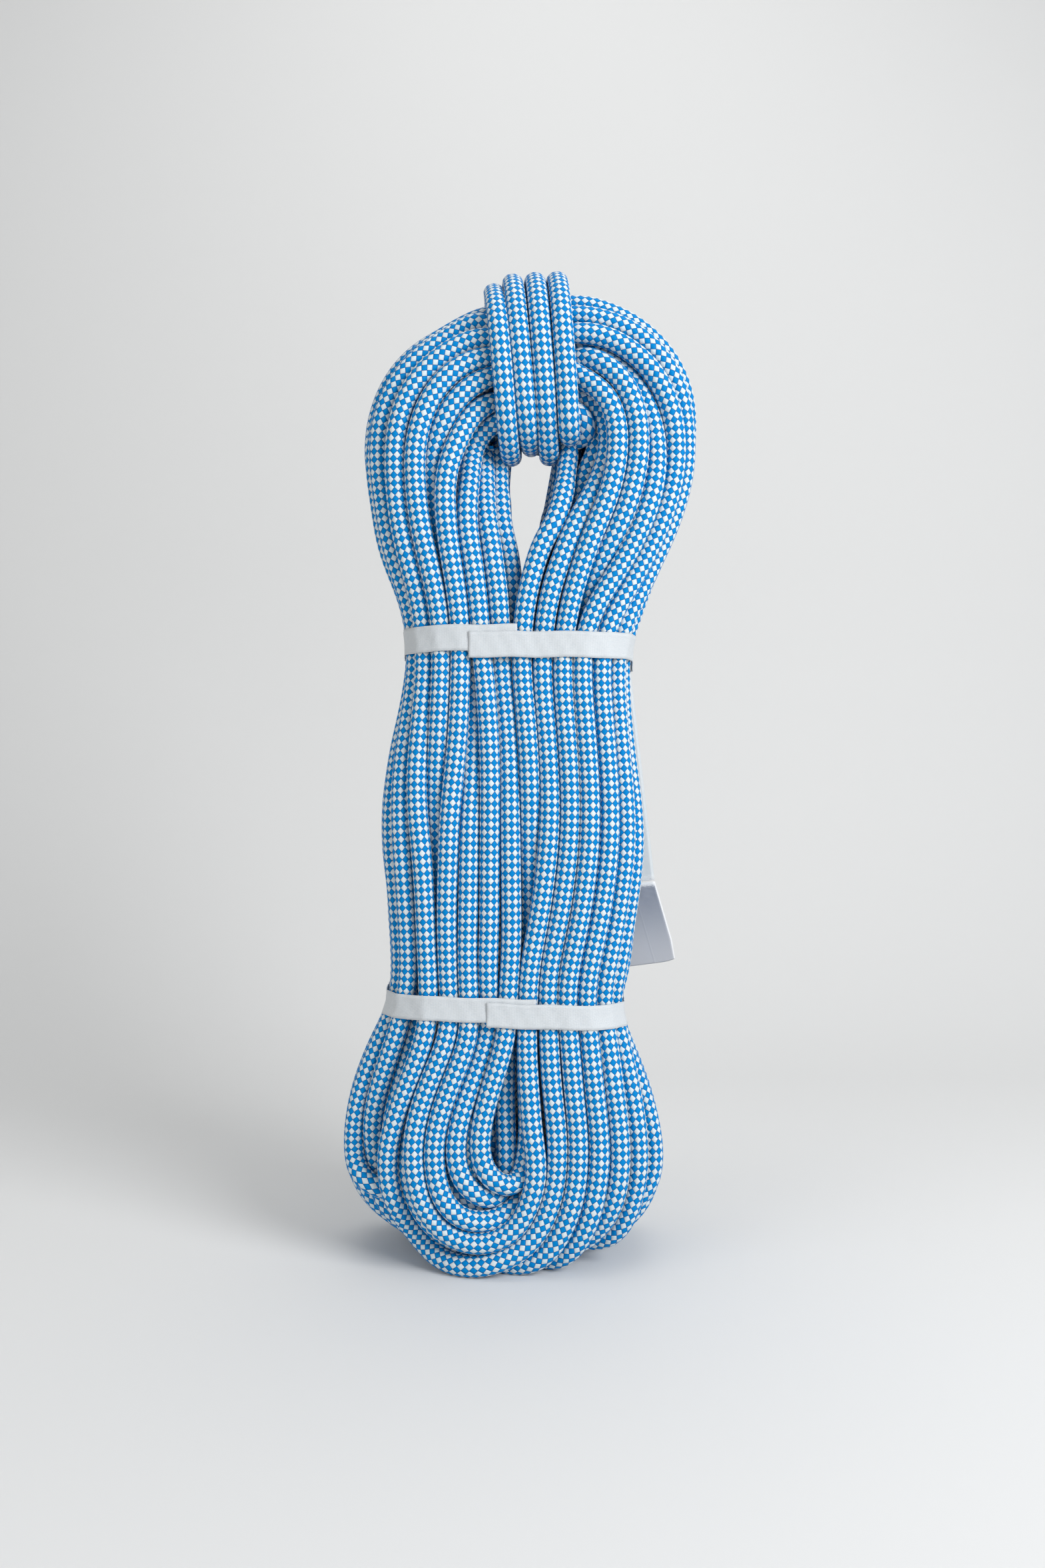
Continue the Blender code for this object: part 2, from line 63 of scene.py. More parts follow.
# The camera stands level with the middle of the hank, straight in front of it.
camera = {
    "place": (0.0025, -0.695, 0.241),
    "frame": (1568, 2352),         # pixels
    "focalLength": 2000.0,         # in the same pixels
}


def makeCamera():
    data = bpy.data.cameras.new("shopCamera")
    data.sensor_fit = "VERTICAL"
    data.sensor_height = 24.0
    data.lens = data.sensor_height * camera["focalLength"] / camera["frame"][1]
    data.clip_start = 0.01
    made = bpy.data.objects.new("shopCamera", data)
    made.location = camera["place"]
    made.rotation_euler = (math.pi / 2, 0, 0)
    bpy.context.scene.collection.objects.link(made)
    bpy.context.scene.camera = made


def inPicture(px, py, y):  # the point at depth y that a pixel of the picture shows
    ahead = (y - camera["place"][1]) / camera["focalLength"]
    return (camera["place"][0] + (px - camera["frame"][0] / 2) * ahead, y,
            camera["place"][2] - (py - camera["frame"][1] / 2) * ahead)


makeCamera()

# The rope's route runs through the same stations as the solids. Lengths are in metres.
rope = {
    "diameter": 0.0100,
    "cellsRound": 9,               # white cells round the rope, and as many blue ones
    "cellPitch": 0.00395,          # from one white cell to the next along the rope
    "rows": 8,                     # of strands, front to back
    "columns": 6,                  # of strands, in each half
    "step": 0.0050,                # between the points that are relaxed
    "rounds": 160,                 # of the relaxing
    "contact": 0.0101,
}
hank = {
    "centre": (0.00154, -0.00039),  # the solids are centred on their box
    # The hank's outline as the photograph shows it, at the depth of its middle: height, the left
    # side and the right side, in millimetres.
    "sides": [(-18, -35, 42), (-9, -46, 48), (1, -54.5, 59), (9, -60, 65.5), (13, -63.5, 69),
              (18, -71, 71.5), (24, -79, 74), (30, -84, 75), (38, -88, 76), (52, -90.5, 76),
              (66, -90, 74), (80, -87.5, 70.5), (94, -83, 65.5), (108, -77, 60), (121, -70.5, 55),
              (130, -67.5, 54), (142, -66, 58), (160, -66.5, 60), (195, -69.5, 65), (213, -71, 66),
              (233, -70.5, 64.5), (260, -66.5, 61), (281, -61.5, 59), (300, -58.5, 58.5),
              (313, -58, 59.5), (330, -60.5, 65), (344, -65, 70), (358, -71, 76), (372, -74.5, 82.5),
              (386, -76.5, 87.5), (399, -78.5, 91), (413, -80, 92.5), (427, -79.2, 92.3)],
    # The same round the crown, from left to right: pixels of the picture.
    "crownSides": [(544, 680), (547, 640), (553, 619), (558, 600), (567, 581), (578, 561), (592, 542),
                   (610, 526), (631, 511), (659, 496), (680, 482), (708, 467), (735, 457), (770, 445),
                   (810, 438), (850, 438), (885, 446), (915, 456), (940, 465), (965, 480), (990, 500),
                   (1008, 520), (1021, 540), (1032, 560), (1040, 590), (1045, 640), (1045, 680)],
    "crownFrom": 0.425,            # above this height the outline is taken round the crown
    "depths": [(0.000, 0.098), (0.050, 0.098), (0.1285, 0.088), (0.213, 0.092), (0.309, 0.088),
               (0.414, 0.092), (0.455, 0.090)],   # of the hank at each height
    "crown": 0.4905,
    "foot": 0.050,
    "shoulder": (0.083, 0.414),    # half width and height, of the outermost strands
    # Under the wraps: the bundle's foot at the front row, how it rises backwards, half its depth
    "bundle": (0.4030, 0.24, 0.0425),
    "bundleSide": (0.016, 0.034),  # from the middle: where the loops begin to draw in, and are free
    "innermost": 0.0053,           # from the middle to the innermost strand
    "eyeSides": (0.0125, 0.0175),  # clear width of the eye left and right, behind the front row
    "eyeHeight": 0.398,
    "eyeTop": 0.4050,
    "eyeFoot": 0.342,
    "slitTop": 0.064,
    "slitFoot": 0.0536,
    "wander": (0.0012, 0.17),      # how far the strands behind the front row wander, over what length
    # The wraps, from the first to the last: across, at the eye and on top of the crown
    "wrapsAtEye": (0.0268, 0.0165, 0.0070, -0.0030),
    "wrapsOnTop": (0.0195, 0.0083, -0.0030, -0.0124),
    "wrapsFoot": (672, 702, 687, 703),     # pixels of the picture: the lowest that each shows
    "wrapsLift": (0.0030, 0.0030, 0.0036, 0.0),   # more height on top
    "wrapsShape": (1.10, 0.94),    # pressed flat: how much wider and thinner than round
    "tailPoints": 45,              # of the rope's line, after the wraps
    # How full the loose rope is at each height, against the rope in the tapes' grip
    "fullness": [(0.00, 1.03), (0.06, 1.03), (0.115, 0.985), (0.14, 0.985), (0.21, 1.01),
                 (0.295, 0.985), (0.325, 0.985), (0.37, 1.05), (0.50, 1.06)],
    "squeeze": 0.13,               # taken off that under the wraps
}
sleeveLow, sleeveHigh = (Vector(corner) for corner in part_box("rope_end_sleeve"))
tailFoot = Vector(((sleeveLow.x + sleeveHigh.x) / 2, (sleeveLow.y + sleeveHigh.y) / 2, sleeveLow.z))
radius = rope["diameter"] / 2


def across(z):  # the hank's middle and half its width at a height
    heights, left, right = np.array(hank["sides"]).T / 1000
    left, right = np.interp(z, heights, left), np.interp(z, heights, right)
    return (left + right) / 2, (right - left) / 2


def halfDepth(z):
    heights, depths = np.array(hank["depths"]).T
    return np.interp(z, heights, depths / 2)


def frontDepth(z):  # of the front row's centre lines
    return hank["centre"][1] - (halfDepth(z) - radius)


def fullness(places):  # how thick the rope is at each place, against its diameter
    x, z = places[:, 0], places[:, 2]
    underWraps = (1 - ease((np.abs(x - 0.007) - 0.014) / 0.014)) * (z > 0.39)
    return np.interp(z, *np.array(hank["fullness"]).T) - hank["squeeze"] * underWraps


# Strands of the front, from the crown down, from the innermost one outwards: pixels of the
# picture, and the depth behind the front row in millimetres where it isn't 0.
leftFront = [
    [(745, 655), (737, 680), (731, 715), (730, 750), (735, 800), (745, 866), (751, 932),
     (752, 994, 3), (766, 1098, 1), (764, 1201), (766, 1304), (768, 1408), (767, 1477),
     (758, 1548), (736, 1623), (719, 1694), (713, 1740), (719, 1762), (736, 1787, 2),
     (756, 1799, 5), (778, 1790, 9)],
    [(744, 631), (730, 647), (716, 670), (706, 695), (700, 740), (700, 800), (713, 866),
     (720, 932), (724, 994), (732, 1098), (734, 1201), (734, 1304), (734, 1408), (729, 1477),
     (736, 1548, 4), (704, 1623, 2), (683, 1694), (679, 1735), (683, 1765), (700, 1793),
     (722, 1810, 1), (748, 1812, 5), (776, 1803, 9)],
    [(741, 597), (722, 607), (705, 626), (686, 655), (672, 685), (662, 735), (664, 800),
     (678, 866), (688, 932), (691, 994), (682, 1098), (677, 1201), (672, 1304), (669, 1408, 2),
     (672, 1477, 4), (678, 1548), (646, 1623), (621, 1694), (612, 1749, -1), (615, 1776, -2),
     (622, 1803, -2), (635, 1830, -2), (653, 1850, -2), (679, 1864, -2), (706, 1870, -2),
     (733, 1866, -2), (760, 1853, -2), (778, 1837, -2), (790, 1815, -2), (796, 1785, -1)],
    [(736, 557), (719, 564), (702, 578), (688, 593), (677, 612), (669, 631, 2), (661, 650, 5),
     (656, 680, 8), (653, 740, 9), (656, 800, 9), (675, 866, 10), (702, 932, 9), (706, 994, 8),
     (708, 1098, 3), (705, 1201), (703, 1304), (701, 1408), (697, 1477), (712, 1548),
     (676, 1623), (653, 1694), (647, 1749), (653, 1785), (667, 1812), (690, 1833),
     (715, 1841, 1), (742, 1836, 4), (775, 1820, 9)],
    [(733, 517), (707, 526), (688, 540), (669, 559), (654, 578), (642, 597), (633, 622),
     (627, 647), (623, 689), (623, 740), (629, 800), (646, 866), (659, 932), (658, 994),
     (657, 1098), (653, 1201, 4), (655, 1304, 9), (660, 1408, 9), (663, 1477, 8), (655, 1548, 9),
     (632, 1623, 10), (612, 1694, 11), (606, 1750, 12), (615, 1810, 13), (640, 1855, 14),
     (680, 1880, 14), (730, 1893, 12)],
    [(730, 489), (703, 495), (680, 507), (657, 524), (638, 543), (621, 562), (608, 585),
     (598, 608), (590, 641), (587, 670), (590, 727), (597, 800), (615, 866), (631, 932),
     (634, 994), (632, 1098), (631, 1201), (636, 1304), (639, 1408), (643, 1477), (642, 1548),
     (613, 1623, 2), (588, 1694, 5), (583, 1748, 7), (587, 1785, 8), (597, 1815, 7), (612, 1844, 4),
     (631, 1871, 1), (653, 1890), (680, 1905), (706, 1910), (733, 1906), (760, 1896),
     (783, 1880), (801, 1860), (817, 1838), (829, 1812), (836, 1780)],
    [(728, 477, 8), (700, 485, 8), (677, 500, 9), (650, 517, 9), (625, 534, 10), (604, 554, 10),
     (588, 577, 10), (574, 603, 10), (565, 631, 10), (561, 660, 10), (560, 700, 10),
     (565, 750, 9), (577, 800, 8), (594, 866, 6), (611, 932, 6), (618, 994, 6), (612, 1098, 6),
     (603, 1201, 6), (608, 1304, 6), (615, 1408, 6), (617, 1477, 8), (600, 1548, 10),
     (572, 1623, 13), (556, 1694, 16), (556, 1750, 19), (572, 1795, 22), (600, 1825, 24),
     (640, 1845, 25), (690, 1855, 25), (740, 1860, 22)],
]
rightFront = [
    [(878, 597), (892, 608), (902, 622), (907, 640), (908, 660), (905, 680), (899, 700), (889, 720),
     (875, 742), (861, 760), (845, 780), (831, 800), (811, 832), (797, 866), (789, 900), (785, 945),
     (781, 994), (791, 1098), (796, 1201), (797, 1304, 6), (792, 1408, 10), (787, 1477, 10),
     (786, 1548, 10), (790, 1623, 10), (795, 1700, 11), (793, 1760, 10)],
    [(876, 580, 10), (893, 590, 10), (908, 605, 10), (917, 625, 10), (919, 650, 10), (917, 680, 10),
     (911, 705, 9), (902, 727, 7), (893, 748, 5), (885, 766, 3), (866, 800, 1), (847, 833),
     (833, 866), (823, 900), (817, 945), (814, 994), (823, 1098), (828, 1201), (820, 1304),
     (810, 1408), (801, 1477), (791, 1548), (793, 1623), (796, 1694), (797, 1745)],
    [(875, 561), (890, 570), (905, 581), (920, 594), (932, 610), (938, 630), (941, 655), (940, 680),
     (937, 700), (930, 725), (923, 745), (916, 766), (899, 800), (883, 833), (868, 866), (858, 900),
     (849, 945), (846, 994), (853, 1098), (858, 1201), (856, 1304), (837, 1408), (817, 1477),
     (824, 1548), (826, 1623), (837, 1694), (838, 1745)],
    [(872, 513, 10), (905, 523, 11), (935, 541, 11), (958, 565, 10), (974, 590, 10), (985, 620, 9),
     (990, 650, 8), (991, 680, 7), (990, 705, 6), (987, 730, 4), (981, 766, 2), (964, 800, 1),
     (945, 833), (923, 866), (901, 900), (886, 925), (883, 945), (878, 994), (884, 1098),
     (890, 1201), (887, 1304), (870, 1408), (853, 1477), (862, 1548), (861, 1623), (869, 1694),
     (869, 1766), (858, 1812), (840, 1855, 2), (811, 1890, 4), (780, 1903, 8)],
    [(868, 488), (892, 491), (917, 500), (941, 512), (964, 528), (982, 546), (996, 569),
     (1007, 593), (1014, 630), (1016, 660), (1016, 700), (1010, 735), (1002, 766), (985, 800),
     (971, 833), (954, 866), (930, 900), (916, 925), (911, 945), (903, 994), (908, 1098),
     (914, 1201), (910, 1304), (891, 1408), (877, 1477), (890, 1548), (892, 1623), (901, 1694),
     (900, 1750), (896, 1790), (885, 1830), (865, 1865, 3), (838, 1888, 8), (800, 1893, 14)],
    [(866, 459), (892, 461), (921, 469), (950, 483), (974, 500), (996, 520), (1010, 542, 1),
     (1020, 569, 3), (1026, 597, 5), (1030, 640, 7), (1030, 685, 8), (1027, 720, 8), (1021, 750, 7),
     (1014, 775, 6), (1004, 800, 5), (989, 833, 4), (972, 866, 3), (954, 900, 3), (941, 925, 2),
     (933, 945), (921, 994), (930, 1098), (942, 1201), (937, 1304), (925, 1408), (904, 1477),
     (911, 1548), (919, 1623), (929, 1694), (931, 1730), (924, 1783), (911, 1823, 4),
     (890, 1855, 9), (860, 1878, 15), (820, 1882, 20)],
    [(866, 455, 12), (900, 458, 13), (930, 467, 13), (958, 482, 13), (985, 502, 13),
     (1007, 527, 14), (1020, 555, 16), (1028, 590, 18), (1032, 640, 20), (1032, 690, 20),
     (1028, 735, 20), (1018, 775, 19), (1008, 805, 17), (996, 833, 14), (982, 866, 12),
     (968, 900, 10), (958, 925, 9), (950, 945, 8), (939, 994, 6), (949, 1098, 6), (960, 1201, 6),
     (958, 1304, 6), (942, 1408, 6), (925, 1477, 8), (929, 1548, 8), (945, 1623, 8), (954, 1694, 8),
     (954, 1748, 9), (947, 1800, 12), (926, 1840, 16), (900, 1862, 20), (870, 1870, 24)],
    [(875, 527), (890, 532), (905, 540), (920, 549), (935, 562), (948, 577), (959, 592), (967, 610),
     (971, 632), (972, 660), (972, 690), (968, 712), (963, 730), (958, 748), (950, 766), (934, 800),
     (917, 833, 1), (902, 866, 4), (890, 900, 8), (880, 925, 10), (873, 945, 12), (868, 994, 12),
     (872, 1098, 12), (876, 1201, 12), (872, 1304, 12), (858, 1408, 12), (850, 1477, 12),
     (855, 1548, 12), (865, 1623, 12), (872, 1694, 13), (868, 1750, 14)],
]


def frontStrand(places):  # the points, and how firmly each is held
    points, firm = [], []
    for px, py, *behind in places:
        behind = behind[0] / 1000 if behind else 0.0
        z = inPicture(px, py, frontDepth(0.25))[2]
        points.append(inPicture(px, py, frontDepth(z) + behind))
        firm.append(0.9 if behind < 0.0115 else 0.08)
    return points, firm


def innerStrand(side, column, row):
    reach = column / (rope["columns"] - 1)
    eyeSide = hank["eyeSides"][side > 0]
    share = (row + 0.5 * (column % 2)) / (rope["rows"] - 0.5)
    rise = hank["bundle"][1] * hank["depths"][-1][1] * share  # the bundle rises backwards
    shoulder = (lerp(eyeSide + radius, hank["shoulder"][0] - radius, reach),
                lerp(hank["eyeHeight"] + 0.6 * rise, hank["shoulder"][1], reach))
    crown = lerp(hank["eyeTop"] + rise + radius, hank["crown"] - radius, reach)
    middle = across(shoulder[1])[0]
    power = 2 / lerp(4.0, 2.0 if side > 0 else 1.8, reach)
    line = []
    for degrees in (20, 35, 50, 70, 90):
        angle = math.radians(degrees)
        line.append((middle + side * shoulder[0] * math.sin(angle) ** power,
                     shoulder[1] + (crown - shoulder[1]) * max(math.cos(angle), 0) ** power))
    foot = lerp(hank["slitTop"], hank["foot"], reach)
    steps = int((shoulder[1] - foot) / 0.016)
    for k in range(1, steps + 1):
        z = lerp(shoulder[1], foot, k / steps)
        middle, half = across(z)
        clear = ease((z - hank["eyeFoot"]) / (hank["eyeHeight"] - hank["eyeFoot"]))
        innermost = max(hank["innermost"], clear * eyeSide + radius)
        line.append((middle + side * lerp(innermost, half - radius, reach), z))
    far, length = hank["wander"]
    phase = 2.4 * row + 1.7 * column + side
    points = [(x + far * math.sin(z * 2 * math.pi / length + phase),
               (halfDepth(z) - radius) * (2 * share - 1) + hank["centre"][1]
               + far * math.cos(z * 2 * math.pi / length + 1.9 * phase), z) for x, z in line]
    return points, [0.05] * len(points)


def bight(left, right, depth):  # between the feet of two strands
    a, b = np.array(left), np.array(right)
    half = (b[0] - a[0]) / 2
    points = []
    for degrees in range(15, 180, 15):
        angle = math.radians(degrees)
        share = 0.5 - 0.5 * math.copysign(abs(math.cos(angle)) ** 0.8, math.cos(angle))
        top = lerp(a[2], b[2], share)
        points.append((lerp(a[0], b[0], share), lerp(a[1], b[1], share),
                       top - (top - depth) * math.sin(angle) ** 0.8))
    return points


def loopsInOrder():
    # Each loop is a left and a right strand: ("front", number) or (row, column).
    front = [(("front", 0), ("front", 0)), (("front", 1), (1, 0)), (("front", 2), ("front", 1)),
             (("front", 3), (1, 1)), (("front", 6), ("front", 4)), (("front", 5), ("front", 2)),
             (("front", 4), ("front", 3)), ((1, 5), ("front", 6)), ((1, 4), ("front", 5)),
             ((1, 3), (1, 5)), ((1, 2), (1, 4)), ((1, 1), ("front", 7)), ((1, 0), (1, 2))]
    rest = []
    for row in range(2, rope["rows"]):
        columns = range(rope["columns"])
        for column in (columns if row % 2 == 0 else reversed(columns)):
            rest.append(((row, column), (row, column)))
    return front + rest


def strand(side, where):
    if where[0] == "front":
        return frontStrand((leftFront if side < 0 else rightFront)[where[1]])
    return innerStrand(side, where[1], where[0])


def routeThroughLoops():
    # Returns the points, and how firmly each is held to its place.
    points, hold = [], []
    for leftPlace, rightPlace in loopsInOrder():
        (left, leftFirm), (right, rightFirm) = strand(-1, leftPlace), strand(1, rightPlace)
        if points:
            rise = 0.004
            a, b = np.array(points[-1]), np.array(left[0])
            for f in (0.33, 0.67):
                points.append(tuple(lerp(a, b, f) + np.array((0, 0, rise))))
                hold.append(0.02)
        points += left
        hold += leftFirm
        joined = leftPlace[0] == "front" and rightPlace[0] == "front" and leftPlace[1] in (2, 5)
        if not joined:
            if leftPlace[0] == rightPlace[0] and leftPlace[0] != "front":
                reach = (leftPlace[1] + rightPlace[1]) / 2 / (rope["columns"] - 1)
                deep = lerp(hank["slitFoot"] + radius, radius, reach)
            else:
                deep = min(left[-1][2], right[-1][2]) - 0.001
                if leftPlace[0] == "front" and rightPlace[0] == "front" and leftPlace[1] > 3:
                    deep = radius
                if leftPlace[0] == 1:
                    deep = radius
            if min(left[-1][2], right[-1][2]) - deep > 0.003:
                curve = bight(left[-1], right[-1], deep)
                points += curve
                hold += [0.05] * len(curve)
        points += right[::-1]
        hold += rightFirm[::-1]
    return np.array(points), np.array(hold)


def smoothLine(points, step, extras=()):
    # A smooth line through the points (Catmull-Rom), in equal steps.
    points = np.asarray(points, float)
    padded = np.vstack([2 * points[0] - points[1], points, 2 * points[-1] - points[-2]])
    gaps = np.maximum(np.linalg.norm(np.diff(padded, axis=0), axis=1), 1e-6) ** 0.5
    rows = []
    owners = []
    for k in range(len(points) - 1):
        p0, p1, p2, p3 = padded[k:k + 4]
        t0, t1, t2 = gaps[k:k + 3]
        m1 = ((p1 - p0) / t0 - (p2 - p0) / (t0 + t1) + (p2 - p1) / t1) * t1
        m2 = ((p2 - p1) / t1 - (p3 - p1) / (t1 + t2) + (p3 - p2) / t2) * t1
        count = max(2, int(np.linalg.norm(p2 - p1) / (step * 0.4)))
        t = np.arange(count)[:, None] / count
        rows.append((2 * t ** 3 - 3 * t ** 2 + 1) * p1 + (t ** 3 - 2 * t ** 2 + t) * m1
                    + (3 * t ** 2 - 2 * t ** 3) * p2 + (t ** 3 - t ** 2) * m2)
        owners.append(k + t[:, 0])
    fine = np.vstack(rows + [points[-1:]])
    owners = np.concatenate(owners + [[len(points) - 1.0]])
    along = np.concatenate([[0], np.cumsum(np.linalg.norm(np.diff(fine, axis=0), axis=1))])
    count = max(2, int(round(along[-1] / step)))
    places = np.linspace(0, along[-1], count + 1)
    even = np.stack([np.interp(places, along, fine[:, k]) for k in range(3)], axis=1)
    at = np.interp(places, along, owners)
    return [even] + [np.interp(at, np.arange(len(points)), e) for e in extras]


def nearPairs(spots, reach, apart):
    # Pairs of points closer than reach that lie more than `apart` points from each other.
    cells = np.floor(spots / reach).astype(np.int64) + 4096
    keys = (cells[:, 0] * 8192 + cells[:, 1]) * 8192 + cells[:, 2]
    order = np.argsort(keys, kind="stable")
    ordered = keys[order]
    found = []
    for dx, dy, dz in [(x, y, z) for x in (-1, 0, 1) for y in (-1, 0, 1) for z in (-1, 0, 1)
                       if (x, y, z) >= (0, 0, 0)]:
        other = keys + (dx * 8192 + dy) * 8192 + dz
        low = np.searchsorted(ordered, other, "left")
        count = np.searchsorted(ordered, other, "right") - low
        a = np.repeat(np.arange(len(spots)), count)
        start = np.repeat(low - np.concatenate([[0], np.cumsum(count)[:-1]]), count)
        b = order[start + np.arange(len(a))]
        keep = np.abs(a - b) > apart
        if (dx, dy, dz) == (0, 0, 0):
            keep &= a < b
        a, b = a[keep], b[keep]
        near = np.sum((spots[a] - spots[b]) ** 2, axis=1) < reach * reach
        found.append(np.stack([a[near], b[near]]))
    return np.concatenate(found, axis=1)


def smoothed(values, kernel):
    return np.stack([np.convolve(values[:, k], kernel, "same") for k in range(values.shape[1])], axis=1)


def relax(spots, hold, rounds, free=None, fixed=None):
    # Pushes the strands apart, keeps them inside the tapes' and the hank's outline and on the
    # floor, and evens their bends, while each is held loosely to its place.
    spots = spots.copy()
    target = spots.copy()
    even = np.array((1.0, 2.0, 3.0, 2.0, 1.0)) / 9
    for again in range(2):
        target[2:-2] = smoothed(target, even)[2:-2]
    wide = np.exp(-np.linspace(-1.6, 1.6, 15) ** 2)
    wide /= wide.sum()
    way = np.gradient(target, axis=0)
    way /= np.linalg.norm(way, axis=1)[:, None]
    apart = int(2.2 * rope["contact"] / rope["step"]) + 1
    for turn in range(rounds):
        if turn % 6 == 0:
            a, b = nearPairs(spots, rope["contact"] * 1.3, apart)
            contact = rope["contact"] * fullness((spots[a] + spots[b]) / 2)
        fade = 1.0 if turn < rounds * 0.5 else 0.3
        spots += (target - spots) * (hold * 0.25 * fade)[:, None]
        # How far a point has moved is evened with its neighbours along the rope.
        moved = spots - target
        moved -= 0.5 * np.sum(moved * way, axis=1)[:, None] * way
        moved[1:-1] += 0.35 * ((moved[:-2] + moved[2:]) / 2 - moved[1:-1])
        if turn % 2 == 1:
            moved[7:-7] = lerp(moved, smoothed(moved, wide), 0.35)[7:-7]
        spots = target + moved
        for again in range(2):
            gap = spots[b] - spots[a]
            apartness = np.linalg.norm(gap, axis=1)
            deep = np.maximum(contact - apartness, 0)
            push = gap / np.maximum(apartness, 1e-6)[:, None] * (0.5 * deep)[:, None]
            count = (np.bincount(a, deep > 0, len(spots)) + np.bincount(b, deep > 0, len(spots)))
            share = 1.3 / np.maximum(count, 1.3)
            for k in range(3):
                spots[:, k] += share * (np.bincount(b, push[:, k], len(spots))
                                        - np.bincount(a, push[:, k], len(spots)))
        held = spots[free] if free is not None else None
        inside(spots)
        if free is not None:
            spots[free] = held
            spots[fixed] = target[fixed]
    return spots


def crownReach(angles):  # from the crown's inner middle to the outline, as the picture shows it
    places = [inPicture(px, py, 0.0) for px, py in hank["crownSides"]]
    outline = np.array([(x, z) for x, y, z in places])
    middle = np.array((across(hank["crownFrom"])[0], hank["crownFrom"]))
    around = np.arctan2(outline[:, 1] - middle[1], outline[:, 0] - middle[0])
    order = np.argsort(around)
    reach = np.linalg.norm(outline - middle, axis=1)
    return np.interp(angles, around[order], reach[order])


def inside(spots):
    z = spots[:, 2]
    # What stands nearer than the middle looks larger, so it is held to the outline as it is seen.
    larger = -camera["place"][1] / (np.minimum(spots[:, 1], 0.0) - camera["place"][1])
    xSeen = camera["place"][0] + (spots[:, 0] - camera["place"][0]) * larger
    zSeen = camera["place"][2] + (z - camera["place"][2]) * larger
    deepest = halfDepth(z) - radius + np.where(spots[:, 1] < 0, 0.001, 0.0)
    depth = (spots[:, 1] - hank["centre"][1]) / deepest
    middle, half = across(zSeen)
    crownMiddle = across(hank["crownFrom"])[0]
    up = np.maximum(zSeen - hank["crownFrom"], 0)
    angles = np.arctan2(up, xSeen - crownMiddle)
    round_ = zSeen > hank["crownFrom"]
    aside = np.where(round_, np.hypot(xSeen - crownMiddle, up), np.abs(xSeen - middle))
    allowed = np.where(round_, crownReach(angles), half) - radius * fullness(spots)
    share = aside / allowed
    reach = (share ** 5 + np.abs(depth) ** 5) ** (1 / 5)
    shrink = np.where(reach > 1, 1 - 0.7 * (1 - 1 / np.maximum(reach, 1)), 1.0)
    # A strand that is inside the outline as it is seen gives way backwards rather than sideways.
    narrower = np.minimum(shrink ** 0.25, 1 / np.maximum(share, 1))
    xNew = np.where(round_, crownMiddle + (xSeen - crownMiddle) * narrower,
                    middle + (xSeen - middle) * narrower)
    zNew = np.where(round_, hank["crownFrom"] + up * narrower, zSeen)
    spots[:, 0] = camera["place"][0] + (xNew - camera["place"][0]) / larger
    spots[:, 1] = hank["centre"][1] + depth * shrink ** 1.75 * deepest
    spots[:, 2] = camera["place"][2] + (zNew - camera["place"][2]) / larger
    # Under the wraps the loops are drawn into a bundle that rises backwards.
    foot, rise, bundleDepth = hank["bundle"]
    first, free = hank["bundleSide"]
    z = spots[:, 2]
    middle = across(z)[0]
    aside = spots[:, 0] - middle
    near = (1 - ease((np.abs(aside) - first) / (free - first))) * (z > hank["eyeHeight"] - 0.010)
    low = foot + rise * (spots[:, 1] + bundleDepth)
    bundleMiddle, bundleHeight = (low + hank["crown"]) / 2, (hank["crown"] - low) / 2
    up = (z - bundleMiddle) / (bundleHeight - radius)
    back = (spots[:, 1] - hank["centre"][1]) / (bundleDepth - radius)
    reach = (np.abs(up) ** 2.8 + np.abs(back) ** 2.8) ** (1 / 2.8)
    shrink = np.where(reach > 1, 1 - 0.7 * near * (1 - 1 / np.maximum(reach, 1)), 1.0)
    spots[:, 1] = hank["centre"][1] + back * shrink * (bundleDepth - radius)
    spots[:, 2] = bundleMiddle + up * shrink * (bundleHeight - radius)
    # Nothing lies in the eye, which narrows downwards.
    clear = ease((z - hank["eyeFoot"]) / (hank["eyeHeight"] - hank["eyeFoot"]))
    side = np.where(aside > 0, hank["eyeSides"][1], hank["eyeSides"][0]) * clear + radius
    within = (np.abs(aside) < side) & (z > hank["eyeFoot"]) & (z < hank["eyeHeight"] - 0.004)
    aside = np.where(within, lerp(aside, np.sign(aside) * side, 0.5), aside)
    spots[:, 0] = middle + aside
    spots[:, 2] = np.clip(spots[:, 2], radius * 1.03, hank["crown"] - radius)


def makeLoops():
    points, hold = routeThroughLoops()
    spots, hold = smoothLine(points, rope["step"], [hold])
    say(f"loops laid: {len(spots)} points, {len(spots) * rope['step']:.2f} m")
    return relax(spots, hold, rope["rounds"])


def outlineOf(circles):  # the convex outline round (x, y, radius) circles, counter-clockwise
    corners = sorted({(x + r * math.cos(math.radians(a)), y + r * math.sin(math.radians(a)))
                      for x, y, r in circles for a in range(0, 360, 15)})

    def chain(points):
        kept = []
        for p in points:
            while len(kept) > 1 and ((kept[-1][0] - kept[-2][0]) * (p[1] - kept[-2][1])
                                     <= (kept[-1][1] - kept[-2][1]) * (p[0] - kept[-2][0])):
                kept.pop()
            kept.append(p)
        return kept[:-1]

    return np.array(chain(corners) + chain(corners[::-1]))


